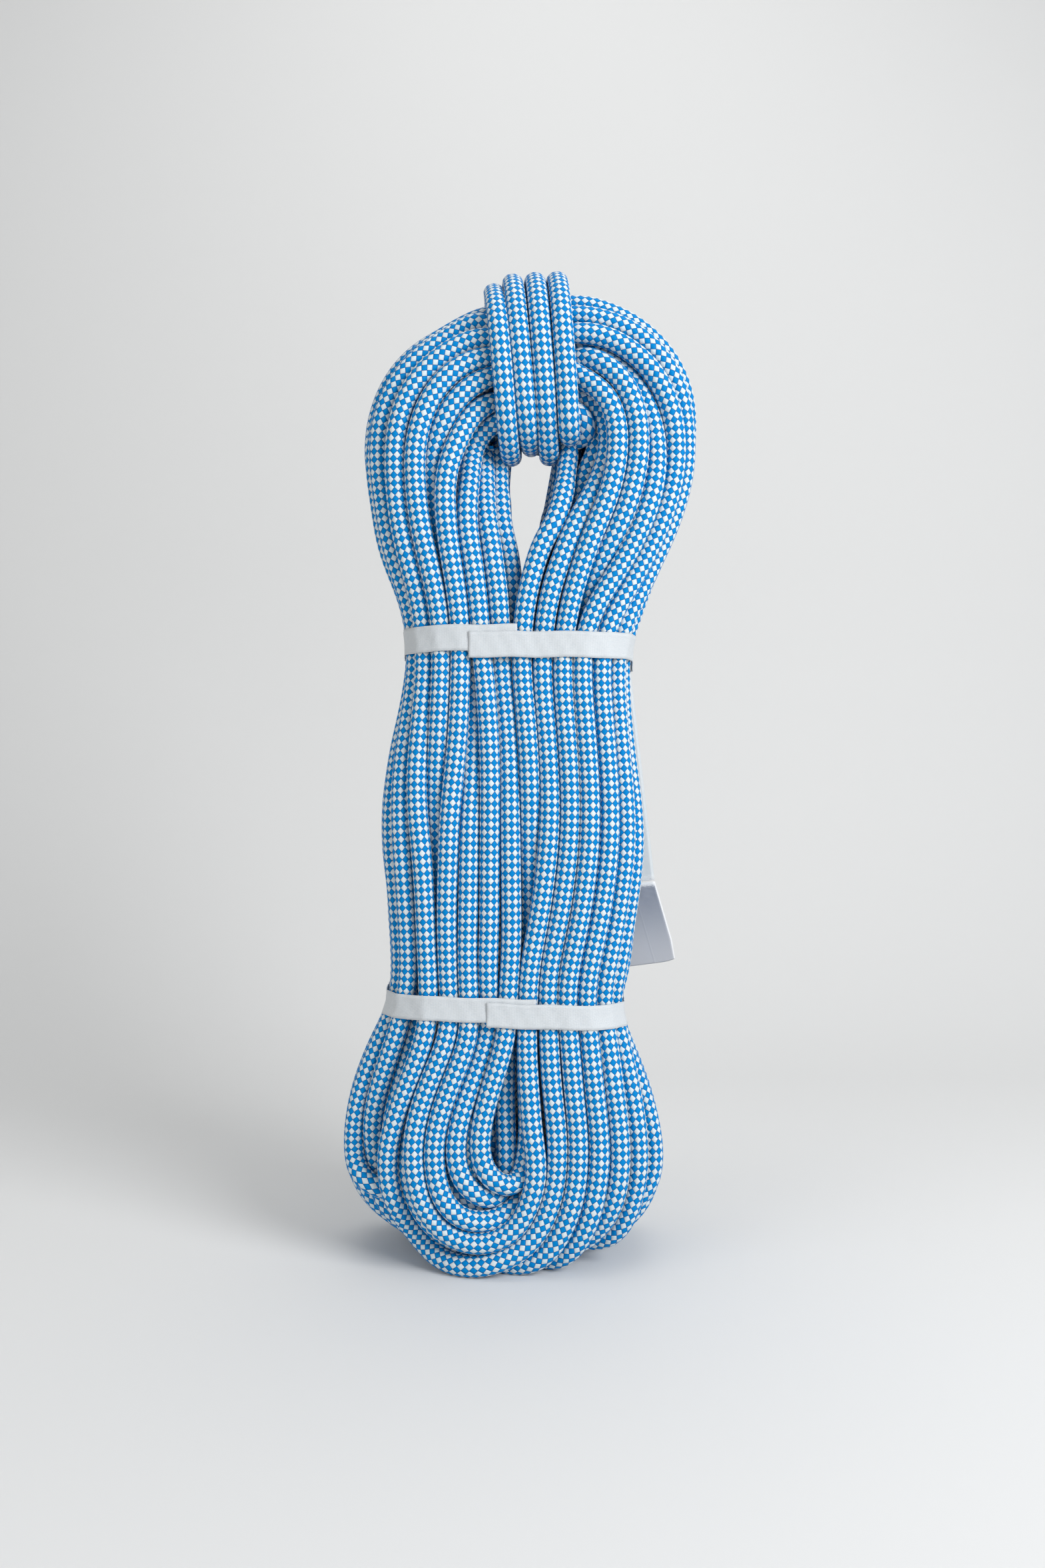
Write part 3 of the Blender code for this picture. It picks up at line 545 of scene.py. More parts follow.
def reachOf(outline, centre, angles):  # distance from the centre to the outline, at each angle
    offset = outline - centre
    around = np.arctan2(offset[:, 1], offset[:, 0])
    order = np.argsort(around)
    offset, around = offset[order], around[order]
    offset = np.vstack([offset[-1:], offset, offset[:1]])
    around = np.concatenate([[around[-1] - 2 * math.pi], around, [around[0] + 2 * math.pi]])
    found = []
    for angle in (np.asarray(angles) + math.pi) % (2 * math.pi) - math.pi:
        k = int(np.clip(np.searchsorted(around, angle) - 1, 0, len(around) - 2))
        a, b = offset[k], offset[k + 1]
        ray = np.array((math.cos(angle), math.sin(angle)))
        edge = b - a
        found.append(abs((a[0] * edge[1] - a[1] * edge[0]) / (ray[0] * edge[1] - ray[1] * edge[0])))
    return np.array(found)


def wrapsAndTail(spots):
    # Four turns round the crown and through the eye, then down the back under the upper tape.
    centre = np.array((hank["centre"][1], 0.448))
    near = spots[(spots[:, 2] > hank["eyeTop"] - 0.002)]
    slices = np.linspace(-0.030, 0.034, 9)
    steps = 24
    angles = np.radians(-90 - np.arange(steps) * 360 / steps)  # in (depth, height), up the front
    reaches = []
    for x in slices:
        beside = near[np.abs(near[:, 0] - x) < 0.0085]
        reaches.append(reachOf(outlineOf([(p[1], p[2], 2 * radius + 0.0004) for p in beside]),
                               centre, angles))
    reaches = np.array(reaches)
    eye, top = hank["wrapsAtEye"], hank["wrapsOnTop"]
    line = []
    for turn in range(len(eye)):
        following = eye[turn + 1] if turn + 1 < len(eye) else tailFoot.x + 0.006
        for k in range(-4 if turn == 0 else 0, steps if turn < len(eye) - 1 else 17):
            f = k / steps
            x = lerp(eye[turn], top[turn], ease(f / 0.5)) if f < 0.5 else \
                lerp(top[turn], following, ease((f - 0.5) / 0.5))
            reach = np.interp(x, slices, reaches[:, k])
            y = centre[0] + reach * math.cos(angles[k])
            z = centre[1] + reach * math.sin(angles[k])
            z += hank["wrapsLift"][turn] * ease((math.sin(angles[k]) - 0.4) / 0.6)
            footPixel = lerp(hank["wrapsFoot"][turn], hank["wrapsFoot"][min(turn + 1, len(eye) - 1)],
                             ease((f - 0.7) / 0.3)) - 16
            line.append((x, y, max(z, inPicture(784, footPixel, y)[2])))
    x, y, z = line[-1]
    for f in (0.2, 0.4, 0.6, 0.8, 0.9, 1.0):
        height = lerp(z, tailFoot.z, f)
        behind = float(hank["centre"][1] + halfDepth(height) + radius * 1.1)
        line.append((lerp(x, tailFoot.x, ease(1.6 * f)), lerp(behind, tailFoot.y, ease(2 * f - 1)), height))
    return line


def unkinked(line, share):
    # Takes out bends that are too short for a rope and leaves the long ones, then evens the steps.
    line = line.copy()
    for turn in range(30):
        change = (0.5 if turn % 2 == 0 else -0.53) * share[1:-1, None]
        line[1:-1] += change * ((line[:-2] + line[2:]) / 2 - line[1:-1])
    return smoothLine(line, rope["step"])[0]


def makeRoute():
    loops = makeLoops()
    # The last loop stops below the crown and goes through the eye into the first wrap.
    last = len(loops) - 1
    while loops[last, 2] > 0.330:
        last -= 1
    loops = loops[:last]
    wraps = wrapsAndTail(loops)
    x, y, z = loops[-1]
    through = [(lerp(x, wraps[0][0], 0.5), lerp(y, wraps[0][1], 0.3), lerp(z, wraps[0][2], 0.5))]
    line = smoothLine(np.vstack([loops, through, wraps]), rope["step"])[0]
    first = int(np.argmin(np.linalg.norm(line - loops[-1], axis=1)))
    count = np.arange(len(line))
    giving = (np.abs(line[:, 0] - 0.007) < 0.035) & (line[:, 2] > 0.39) | (line[:, 1] > 0.02)
    hold = np.where(giving, 0.3, 2.0)
    line = relax(line, hold, 40, count >= first - 2, count >= first + 8)
    start = line[first]
    line = unkinked(line, np.clip((first + 8 - count) / 8, 0, 1))
    first = int(np.argmin(np.linalg.norm(line - start, axis=1)))
    a, b = nearPairs(line, 0.010, 6)
    gaps = np.linalg.norm(line[a] - line[b], axis=1)
    say(f"relaxed: {np.sum(gaps < 0.0085)} pairs under 8.5 mm, {np.sum(gaps < 0.007)} under 7 mm")
    return line, first


spots, wrapStart = makeRoute()


def framesAlong(points):  # tangent and two cross directions at each point, with no twist
    along = np.gradient(points, axis=0)
    along /= np.linalg.norm(along, axis=1)[:, None]
    across = np.empty_like(points)
    side = np.cross(along[0], (0.0, 1.0, 0.0))
    side /= np.linalg.norm(side)
    for k, direction in enumerate(along):
        side = side - direction * side.dot(direction)
        side /= math.sqrt(side.dot(side))
        across[k] = side
    return along, across, np.cross(along, across)


def seenAt(points):
    # A point of the rope is seen if something straight out from its surface is open.
    along, across, other = framesAlong(points)
    sides = 8
    angles = np.arange(sides) * 2 * math.pi / sides
    ring = (points[:, None] + radius * (np.cos(angles)[None, :, None] * across[:, None]
                                        + np.sin(angles)[None, :, None] * other[:, None]))
    count = len(points)
    row = np.arange(count - 1)[:, None] * sides
    k = np.arange(sides)[None, :]
    quads = np.stack([row + k, row + (k + 1) % sides, row + sides + (k + 1) % sides,
                      row + sides + k], axis=2).reshape(-1, 4)
    tree = BVHTree.FromPolygons(ring.reshape(-1, 3).tolist(), quads.tolist())
    seen = np.zeros(count, bool)
    tilts = (-0.8, 0.0, 0.8)
    for n in range(count):
        for angle in np.arange(12) * math.pi / 6:
            out = math.cos(angle) * across[n] + math.sin(angle) * other[n]
            start = Vector(points[n] + out * (radius + 0.0006))
            for tilt in tilts:
                way = Vector(out + tilt * along[n]).normalized()
                if tree.ray_cast(start, way, 0.6)[0] is None:
                    seen[n] = True
                    break
            if seen[n]:
                break
    wide = np.convolve(seen, np.ones(9), "same") > 0
    return wide


def ropeMesh(name, points, seen):
    # Where it is seen the rope is a skin of cells, white and blue by turns: a diamond each, its
    # corners on three rings. Inside the hank it is a plain tube.
    cells = rope["cellsRound"]
    step = rope["cellPitch"] / 2
    fine, seen, thick, wrapped = smoothLine(points, step, [seen.astype(float), thickness(points),
                                                          wrapping(points)])
    seen = seen > 0.5
    along, across, other = framesAlong(fine)
    count = len(fine)
    turn = 0.35 * np.sin(np.arange(count) * step / 0.9) + 0.2 * np.sin(np.arange(count) * step / 0.37)
    angles = ((np.arange(cells)[None, :] + 0.5 * (np.arange(count) % 2)[:, None]) * 2 * math.pi
              / cells + turn[:, None])
    out = (np.cos(angles)[..., None] * across[:, None] + np.sin(angles)[..., None] * other[:, None])
    # The wraps are pressed flat: wider across the hank, thinner towards it.
    wide, thin = hank["wrapsShape"]
    sideways = np.array((1.0, 0.0, 0.0)) - along * along[:, :1]
    sideways /= np.linalg.norm(sideways, axis=1)[:, None] + 1e-9
    inward = np.cross(along, sideways)
    for direction, change in ((sideways, wide - 1), (inward, thin - 1)):
        share = np.sum(out * direction[:, None], axis=2) * change * wrapped[:, None]
        out = out + share[..., None] * direction[:, None]
    rings = fine[:, None] + (radius * thick)[:, None, None] * out
    ring = np.arange(1, count - 1)
    ring = ring[seen[ring]]
    j, k = np.meshgrid(ring, np.arange(cells), indexing="ij")
    j, k = j.ravel(), k.ravel()
    following = (k + 1) % cells
    tip = np.where(j % 2 == 0, k, following)
    left, right = j * cells + k, j * cells + following
    lower, upper = (j - 1) * cells + tip, (j + 1) * cells + tip
    triangles = np.stack([lower, right, upper, lower, upper, left], axis=1).reshape(-1, 3)
    corners = np.tile(np.array([(0, 0), (1, 0), (1, 1), (0, 0), (1, 1), (0, 1)], float), (len(j), 1))
    blue = np.repeat(j % 2, 2)
    # the plain tube, on every fourth ring
    hiddenFaces = []
    every = 4
    for n in range(every, count - every, every):
        if not seen[n - every:n + every].all():
            a, b = n * cells, (n + every) * cells
            if n + every < count:
                hiddenFaces.append([(a + q, a + (q + 1) % cells, b + (q + 1) % cells, b + q)
                                    for q in range(cells)])
    plain = np.array(hiddenFaces).reshape(-1, 4)
    used = np.unique(np.concatenate([triangles.ravel(), plain.ravel()]))
    place = np.full(count * cells, -1)
    place[used] = np.arange(len(used))
    vertices = rings.reshape(-1, 3)[used]
    mesh = bpy.data.meshes.new(name)
    mesh.vertices.add(len(vertices))
    mesh.vertices.foreach_set("co", vertices.ravel())
    loops = np.concatenate([place[triangles].ravel(), place[plain].ravel()])
    starts = np.concatenate([np.arange(len(triangles)) * 3,
                             len(triangles) * 3 + np.arange(len(plain)) * 4])
    mesh.loops.add(len(loops))
    mesh.loops.foreach_set("vertex_index", loops)
    mesh.polygons.add(len(starts))
    mesh.polygons.foreach_set("loop_start", starts)
    mesh.polygons.foreach_set("material_index",
                              np.concatenate([blue, np.full(len(plain), 2)]).astype(np.int32))
    square = np.tile(np.array([(0, 0), (1, 0), (1, 1), (0, 1)], float), (len(plain), 1))
    cell = np.concatenate([corners, square])
    patch = np.concatenate([0.02 + 0.46 * corners + 0.5 * np.repeat(blue, 3)[:, None],
                            0.02 + 0.46 * square + np.array((0.5, 0.0))])
    mesh.uv_layers.new(name="cell").uv.foreach_set("vector", cell.ravel())
    mesh.uv_layers.new(name="OFBake").uv.foreach_set("vector", patch.ravel())
    mesh.uv_layers["cell"].active_render = True
    mesh.validate()
    mesh.update()
    mesh.shade_smooth()
    say(f"rope skinned: {len(triangles)} triangles of cells, {len(plain)} plain faces")
    return mesh


def thickness(points):  # 1.015 makes up for the flat sides of the cells; the sleeve pinches the end
    left = np.linalg.norm(points - points[-1], axis=1)
    near = np.arange(len(points)) > len(points) - 12
    return fullness(points) * 1.015 * np.where(near, lerp(0.9, 1.0, ease((left - 0.013) / 0.006)), 1.0)


def wrapping(points):  # 1 along the wraps, 0 elsewhere
    number = np.arange(len(points))
    return ease((number - wrapStart) / 12) * ease((len(points) - hank["tailPoints"] - number) / 10)


# The gap colours are painted shade, laid on the edges of each cell where it meets and dives under its neighbours.
finishes = {
    "yarnWhite": {"colour": (0.70, 0.775, 0.80), "gap": (0.015, 0.15, 0.36), "turn": 0.0,
                  "roughness": 0.5, "sheen": 0.0, "specular": 0.3},
    "yarnBlue": {"colour": (0.0, 0.235, 0.62), "gap": (0.0, 0.04, 0.18), "turn": 1.0,
                 "roughness": 0.55, "sheen": 0.0, "specular": 0.06},
    "ropeInside": {"colour": (0.05, 0.20, 0.45)},
}


def nodeGroup(name, inputs, outputs):
    group = bpy.data.node_groups.new(name, "ShaderNodeTree")
    for label, kind, value in inputs:
        socket = group.interface.new_socket(label, in_out="INPUT", socket_type=kind)
        socket.default_value = value
    for label, kind in outputs:
        group.interface.new_socket(label, in_out="OUTPUT", socket_type=kind)
    return group, group.nodes.new("NodeGroupInput"), group.nodes.new("NodeGroupOutput")


def calc(tree, operation, *values):
    node = tree.nodes.new("ShaderNodeMath")
    node.operation = operation
    for socket, value in zip(node.inputs, values):
        if isinstance(value, (int, float)):
            socket.default_value = value
        else:
            tree.links.new(value, socket)
    return node.outputs[0]


def mix(tree, factor, a, b):
    node = tree.nodes.new("ShaderNodeMix")
    node.data_type = "RGBA"
    for socket, value in ((node.inputs[0], factor), (node.inputs[6], a), (node.inputs[7], b)):
        if isinstance(value, (int, float)):
            socket.default_value = value
        elif isinstance(value, tuple):
            socket.default_value = (*value, 1)
        else:
            tree.links.new(value, socket)
    return node.outputs[2]


def remap(tree, value, low, high, first=0.0, last=1.0, smooth=True):
    node = tree.nodes.new("ShaderNodeMapRange")
    node.interpolation_type = "SMOOTHSTEP" if smooth else "LINEAR"
    for socket, number in zip(node.inputs[1:5], (low, high, first, last)):
        socket.default_value = number
    tree.links.new(value, node.inputs[0])
    return node.outputs[0]


def yarnCellGroup():
    # One cell of the sheath: a flat bundle of filaments that comes up, crosses and dives under. Its colour carries
    # painted shade: the gap colour at its edges and darker lines along its ridges.
    group, given, out = nodeGroup("yarnCell", [("Colour", "NodeSocketColor", (1, 1, 1, 1)),
                                               ("PaintedGapShade", "NodeSocketColor", (0, 0, 0, 1)),
                                               ("Turn", "NodeSocketFloat", 0.0)],
                                  [("Colour", "NodeSocketColor"), ("Height", "NodeSocketFloat")])
    uv = group.nodes.new("ShaderNodeUVMap")
    uv.uv_map = "cell"
    split = group.nodes.new("ShaderNodeSeparateXYZ")
    group.links.new(uv.outputs[0], split.inputs[0])
    u, v = split.outputs[0], split.outputs[1]
    turn = given.outputs["Turn"]
    difference = calc(group, "SUBTRACT", v, u)
    along = calc(group, "ADD", u, calc(group, "MULTIPLY", difference, turn))
    across = calc(group, "SUBTRACT", v, calc(group, "MULTIPLY", difference, turn))
    fromMiddle = calc(group, "ABSOLUTE", calc(group, "SUBTRACT", calc(group, "MULTIPLY", across, 2), 1))
    fromWaist = calc(group, "ABSOLUTE", calc(group, "SUBTRACT", calc(group, "MULTIPLY", along, 2), 1))
    round_ = calc(group, "SUBTRACT", 1, calc(group, "POWER", fromMiddle, 2.6))
    dive = calc(group, "SUBTRACT", 1, calc(group, "POWER", fromWaist, 2.2))
    ridge = calc(group, "SINE", calc(group, "MULTIPLY", across, 2 * math.pi * 5))
    height = calc(group, "ADD", calc(group, "MULTIPLY", round_, 0.45),
                  calc(group, "MULTIPLY", dive, 0.55))
    height = calc(group, "ADD", height, calc(group, "MULTIPLY", ridge, 0.045))
    # Painted shade: towards its edges the cell's colour goes over to the gap colour.
    edge = calc(group, "MULTIPLY", remap(group, fromMiddle, 1.0, 0.85),
                remap(group, fromWaist, 1.0, 0.81))
    # Painted shade: the colour darkens by up to 12% in the grooves between the filament ridges.
    shade = calc(group, "ADD", 0.94, calc(group, "MULTIPLY", ridge, 0.06))
    lit = group.nodes.new("ShaderNodeVectorMath")
    lit.operation = "SCALE"
    group.links.new(given.outputs["Colour"], lit.inputs[0])
    group.links.new(shade, lit.inputs["Scale"])
    colour = mix(group, edge, given.outputs["PaintedGapShade"], lit.outputs[0])
    group.links.new(colour, out.inputs["Colour"])
    group.links.new(height, out.inputs["Height"])
    return group


def newMaterial(name):
    made = bpy.data.materials.new(name)
    made.use_nodes = True
    tree = made.node_tree
    return made, tree, tree.nodes["Principled BSDF"]


def yarnMaterial(name, group):
    finish = finishes[name]
    made, tree, shader = newMaterial(name)
    cell = tree.nodes.new("ShaderNodeGroup")
    cell.node_tree = group
    cell.inputs["Colour"].default_value = (*finish["colour"], 1)
    cell.inputs["PaintedGapShade"].default_value = (*finish["gap"], 1)
    cell.inputs["Turn"].default_value = finish["turn"]
    bump = tree.nodes.new("ShaderNodeBump")
    bump.inputs["Strength"].default_value = 0.75
    bump.inputs["Distance"].default_value = 0.0006
    tree.links.new(cell.outputs["Height"], bump.inputs["Height"])
    tree.links.new(bump.outputs[0], shader.inputs["Normal"])
    tree.links.new(cell.outputs["Colour"], shader.inputs["Base Color"])
    shader.inputs["Roughness"].default_value = finish["roughness"]
    shader.inputs["Sheen Weight"].default_value = finish["sheen"]
    shader.inputs["Specular IOR Level"].default_value = finish["specular"]
    return made


def makeRope():
    mesh = ropeMesh("rope", spots, seenAt(spots))
    made = bpy.data.objects.new("rope", mesh)
    bpy.context.scene.collection.objects.link(made)
    group = yarnCellGroup()
    inside, tree, shader = newMaterial("ropeInside")
    noise = tree.nodes.new("ShaderNodeTexNoise")
    noise.inputs["Scale"].default_value = 900
    tree.links.new(mix(tree, noise.outputs[0], finishes["ropeInside"]["colour"], (0.3, 0.4, 0.6)),
                   shader.inputs["Base Color"])
    shader.inputs["Roughness"].default_value = 0.8
    for material in (yarnMaterial("yarnWhite", group), yarnMaterial("yarnBlue", group), inside):
        mesh.materials.append(material)
    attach(made, "hank")
    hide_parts("rope_turns", "rope_inner_turns")
    length = float(np.sum(np.linalg.norm(np.diff(spots, axis=0), axis=1)))
    say(f"rope made: {length:.2f} m")
    return made


makeRope()

tapes = {
    # The end on top and the end under it, across; heights of the middle on the way round from the
    # under end: there, left side, back, right side, end on top; and the width.
    "upper_tape": {"top": -0.0231, "under": -0.0001, "width": 0.0128,
                   "heights": (0.3127, 0.3118, 0.3105, 0.3092, 0.3091)},
    "lower_tape": {"top": -0.0147, "under": 0.0087, "width": 0.0120,
                   "heights": (0.1300, 0.1318, 0.1290, 0.1250, 0.1285)},
    "thickness": 0.0003,
    "standOff": 0.0004,            # from the strands to the tape's middle
    "colour": (0.62, 0.65, 0.67),
    "rows": 9,
    "step": 0.0012,
}
leaflet = {
    "creaseRight": (0.07606, 0.0463, 0.1830 + 0.0042),
    "turn": 6.5,                   # degrees: its right edge leans outwards, going down
    "width": 0.074,
    "thickness": 0.0005,
    "upperLength": 0.1620,
    "lowerLength": 0.0495,
    "lowerSplay": 10.5,            # degrees
    "lowerBend": 14.0,
    "paper": (0.62, 0.65, 0.66),
    # The lower leaf is painted darker than the paper as painted shade: this colour at its crease, and a lighter one
    # at its foot.
    "print": (0.25, 0.275, 0.33),
    "shadeAtFoot": (0.48, 0.49, 0.52),
}


def crossingsAt(height):  # where the rope passes a level, as (x, y, radius)
    z = spots[:, 2] - height
    k = np.nonzero(z[:-1] * z[1:] <= 0)[0]
    f = (z[k] / (z[k] - z[k + 1] + 1e-12))[:, None]
    at = spots[k] + (spots[k + 1] - spots[k]) * f
    tail = (k > len(spots) - hank["tailPoints"]) * 0.0006  # it crosses the others
    return [(x, y, radius * full + more) for (x, y, _), full, more in zip(at, thickness(at), tail)]


def tapeMesh(name):
    tape = tapes[name]
    centre = np.array((across(tape["heights"][0])[0], hank["centre"][1]))
    rows, width = tapes["rows"], tape["width"]
    offsets = np.linspace(-width / 2, width / 2, rows)
    # The way round: from the under end, left, round the back, and over the under end.
    start = math.atan2(-halfDepth(tape["heights"][0]), tape["under"] - centre[0])
    finish = math.atan2(-halfDepth(tape["heights"][0]), tape["top"] - centre[0]) - 2 * math.pi
    angles = np.linspace(start, finish, 720)
    turned = (start - angles) / (2 * math.pi)
    heights = np.interp(turned, (0, 0.22, 0.5, 0.78, 1 + (start - finish - 2 * math.pi) / 2 / math.pi),
                        tape["heights"])
    heights = np.convolve(np.pad(heights, 20, "edge"), np.ones(41) / 41, "valid")
    levels = np.linspace(min(tape["heights"]) - width * 0.6, max(tape["heights"]) + width * 0.6, 9)
    reaches = []
    for level in levels:
        circles = crossingsAt(level)
        if name == "upper_tape":       # the leaflet is tucked under it
            fall = math.tan(math.radians(leaflet["turn"])) * (level - leaflet["creaseRight"][2])
            for aside in np.linspace(0, leaflet["width"], 8):
                circles.append((leaflet["creaseRight"][0] - fall - aside,
                                leaflet["creaseRight"][1] + leaflet["thickness"], 0.0006))
        reaches.append(reachOf(outlineOf(circles), centre, angles))
    reaches = np.array(reaches)
    # The tape is pulled tight, so its middle level counts more than its edges' own.
    points = np.empty((rows, len(angles), 3))
    lap = np.clip((turned - 0.97) / 0.03, 0, 1)
    for r, offset in enumerate(offsets):
        z = heights + offset
        own = np.array([np.interp(h, levels, reaches[:, k]) for k, h in enumerate(z)])
        middle = np.array([np.interp(h, levels, reaches[:, k]) for k, h in enumerate(heights)])
        reach = np.maximum(lerp(middle, own, 0.35), own) + tapes["standOff"]
        reach = reach + lap * (tapes["thickness"] + 0.00025)
        crease = 0.00010 * np.sin(angles * 37 + offset * 400) + 0.00008 * np.sin(angles * 91 - offset * 700)
        points[r, :, 0] = centre[0] + (reach + crease) * np.cos(angles)
        points[r, :, 1] = centre[1] + (reach + crease) * np.sin(angles)
        points[r, :, 2] = z + 0.0002 * np.sin(angles * 11 + 1)
    along = np.concatenate([[0], np.cumsum(np.linalg.norm(np.diff(points[rows // 2], axis=0), axis=1))])
    count = int(along[-1] / tapes["step"])
    places = np.linspace(0, along[-1], count)
    even = np.stack([[np.interp(places, along, points[r, :, k]) for k in range(3)] for r in range(rows)])
    return sheetMesh(name, even.transpose(0, 2, 1), tapes["thickness"], width, along[-1]), along[-1]


def sheetMesh(name, grid, thickness, width, length):
    # A thin sheet through a grid of points: both faces and the rim, with its weave in metres.
    rows, count, _ = grid.shape
    acrossWay = np.gradient(grid, axis=0)
    alongWay = np.gradient(grid, axis=1)
    normal = np.cross(alongWay, acrossWay)
    normal /= np.linalg.norm(normal, axis=2)[..., None]
    made = bmesh.new()
    faces = [[[made.verts.new(grid[r, c] + side * normal[r, c] * thickness / 2) for c in range(count)]
              for r in range(rows)] for side in (1, -1)]
    layer = made.loops.layers.uv.new("weave")

    def face(corners, marks):
        new = made.faces.new(corners)
        for loop, (r, c) in zip(new.loops, marks):
            loop[layer].uv = (c / (count - 1) * length, r / (rows - 1) * width)

    for side, sheet in zip((1, -1), faces):
        for r in range(rows - 1):
            for c in range(count - 1):
                marks = [(r, c), (r, c + 1), (r + 1, c + 1), (r + 1, c)][::side]
                face([sheet[a][b] for a, b in marks], marks)
    rim = [(0, c) for c in range(count)] + [(r, count - 1) for r in range(1, rows)]
    rim += [(rows - 1, c) for c in range(count - 2, -1, -1)] + [(r, 0) for r in range(rows - 2, 0, -1)]
    for (a, b), (c, d) in zip(rim, rim[1:] + rim[:1]):
        face([faces[0][a][b], faces[1][a][b], faces[1][c][d], faces[0][c][d]],
             [(a, b), (a, b), (c, d), (c, d)])
    mesh = bpy.data.meshes.new(name)
    made.to_mesh(mesh)
    made.free()
    mesh.shade_smooth()
    return mesh


def place(name, mesh, body, slot, *nodes):
    made = bpy.data.objects.new(name, mesh)
    bpy.context.scene.collection.objects.link(made)
    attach(made, body)
    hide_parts(*nodes)
    return made


def tapeMaterial():
    # Woven ribbon: fine cords across it, a slanting thread, a little soiling.
    made, tree, shader = newMaterial("tapeRibbon")
    uv = tree.nodes.new("ShaderNodeUVMap")
    uv.uv_map = "weave"
    split = tree.nodes.new("ShaderNodeSeparateXYZ")
    tree.links.new(uv.outputs[0], split.inputs[0])
    along, over = split.outputs[0], split.outputs[1]
    cords = calc(tree, "SINE", calc(tree, "MULTIPLY", along, 2 * math.pi / 0.00055))
    threads = calc(tree, "SINE", calc(tree, "ADD", calc(tree, "MULTIPLY", over, 2 * math.pi / 0.0007),
                                      calc(tree, "MULTIPLY", along, 2 * math.pi / 0.0021)))
    height = calc(tree, "ADD", calc(tree, "MULTIPLY", cords, 0.5), calc(tree, "MULTIPLY", threads, 0.5))
    soil = tree.nodes.new("ShaderNodeTexNoise")
    soil.inputs["Scale"].default_value = 60
    soil.inputs["Detail"].default_value = 4
    tint = mix(tree, remap(tree, soil.outputs[0], 0.35, 0.75), tapes["colour"], (0.57, 0.61, 0.64))
    # Painted shade: the colour darkens by up to 4% where the weave lies low.
    shade = calc(tree, "MULTIPLY_ADD", height, 0.02, 0.98)
    lit = tree.nodes.new("ShaderNodeVectorMath")
    lit.operation = "SCALE"
    tree.links.new(tint, lit.inputs[0])
    tree.links.new(shade, lit.inputs["Scale"])
    tree.links.new(lit.outputs[0], shader.inputs["Base Color"])
    bump = tree.nodes.new("ShaderNodeBump")
    bump.inputs["Strength"].default_value = 0.35
    bump.inputs["Distance"].default_value = 0.00015
    tree.links.new(height, bump.inputs["Height"])
    tree.links.new(bump.outputs[0], shader.inputs["Normal"])
    shader.inputs["Roughness"].default_value = 0.5
    shader.inputs["Sheen Weight"].default_value = 0.1
    return made


def makeTapes():
    material = tapeMaterial()
    for name, label in (("upper_tape", "upperTape"), ("lower_tape", "lowerTape")):
        mesh, length = tapeMesh(name)
        mesh.materials.append(material)
        made = place(label, mesh, "hank", "tape", name)
        say(f"{label}: {length * 1000:.0f} mm long, {len(mesh.vertices)} points")


def leafletSpot(fromRight, down, out):
    # A spot of the leaflet: from its right edge, below its crease, and out to the back.
    turn = math.radians(leaflet["turn"])
    sideways, downwards = Vector((-math.cos(turn), 0, -math.sin(turn))), Vector((math.sin(turn), 0, -math.cos(turn)))
    bend = math.radians(leaflet["lowerBend"]) if down > 0 else 0.0
    splay = math.tan(math.radians(leaflet["lowerSplay"])) * max(down, 0)
    lower = downwards * math.cos(bend) + Vector((0, 1, 0)) * math.sin(bend)
    back = Vector((0, 1, 0)) * math.cos(bend) - downwards * math.sin(bend)
    return (Vector(leaflet["creaseRight"]) + sideways * (fromRight - splay)
            + (lower if down > 0 else downwards) * down + back * out)


def leafMesh(name, top, foot):
    # Crumples run out from the crease, and the free edges curl a little.
    rows, columns = 60, 40
    grid = np.empty((rows, columns, 3))
    for r in range(rows):
        down = lerp(top, foot, r / (rows - 1))
        for c in range(columns):
            aside = leaflet["width"] * c / (columns - 1)
            crumple = min(1, abs(down) / 0.005) ** 2 * math.exp(-abs(down) / 0.008) * (0.0005 * math.sin(aside * 900 + 2 * math.sin(down * 500))
                                                      + 0.0003 * math.sin(aside * 1700 + down * 900))
            wave = 0.0004 * math.sin(aside * 95 + down * 30) * min(1, abs(down) / 0.01)
            curl = 0.0012 * max(0, (down - 0.030) / 0.0165) ** 2 if down > 0 else 0.0
            corner = 0.0010 * max(0, 1 - aside / 0.010) ** 2 * max(0, (down - 0.036) / 0.0105)
            out = 0.0004 + 1.6 * abs(crumple) + wave * (1 if down > 0 else 0.4) + curl
            pinch = corner * (1 if down > 0 else 0)
            grid[r, c] = leafletSpot(aside + pinch, down - pinch, out)
    return sheetMesh(name, grid, leaflet["thickness"], abs(foot - top), leaflet["width"])


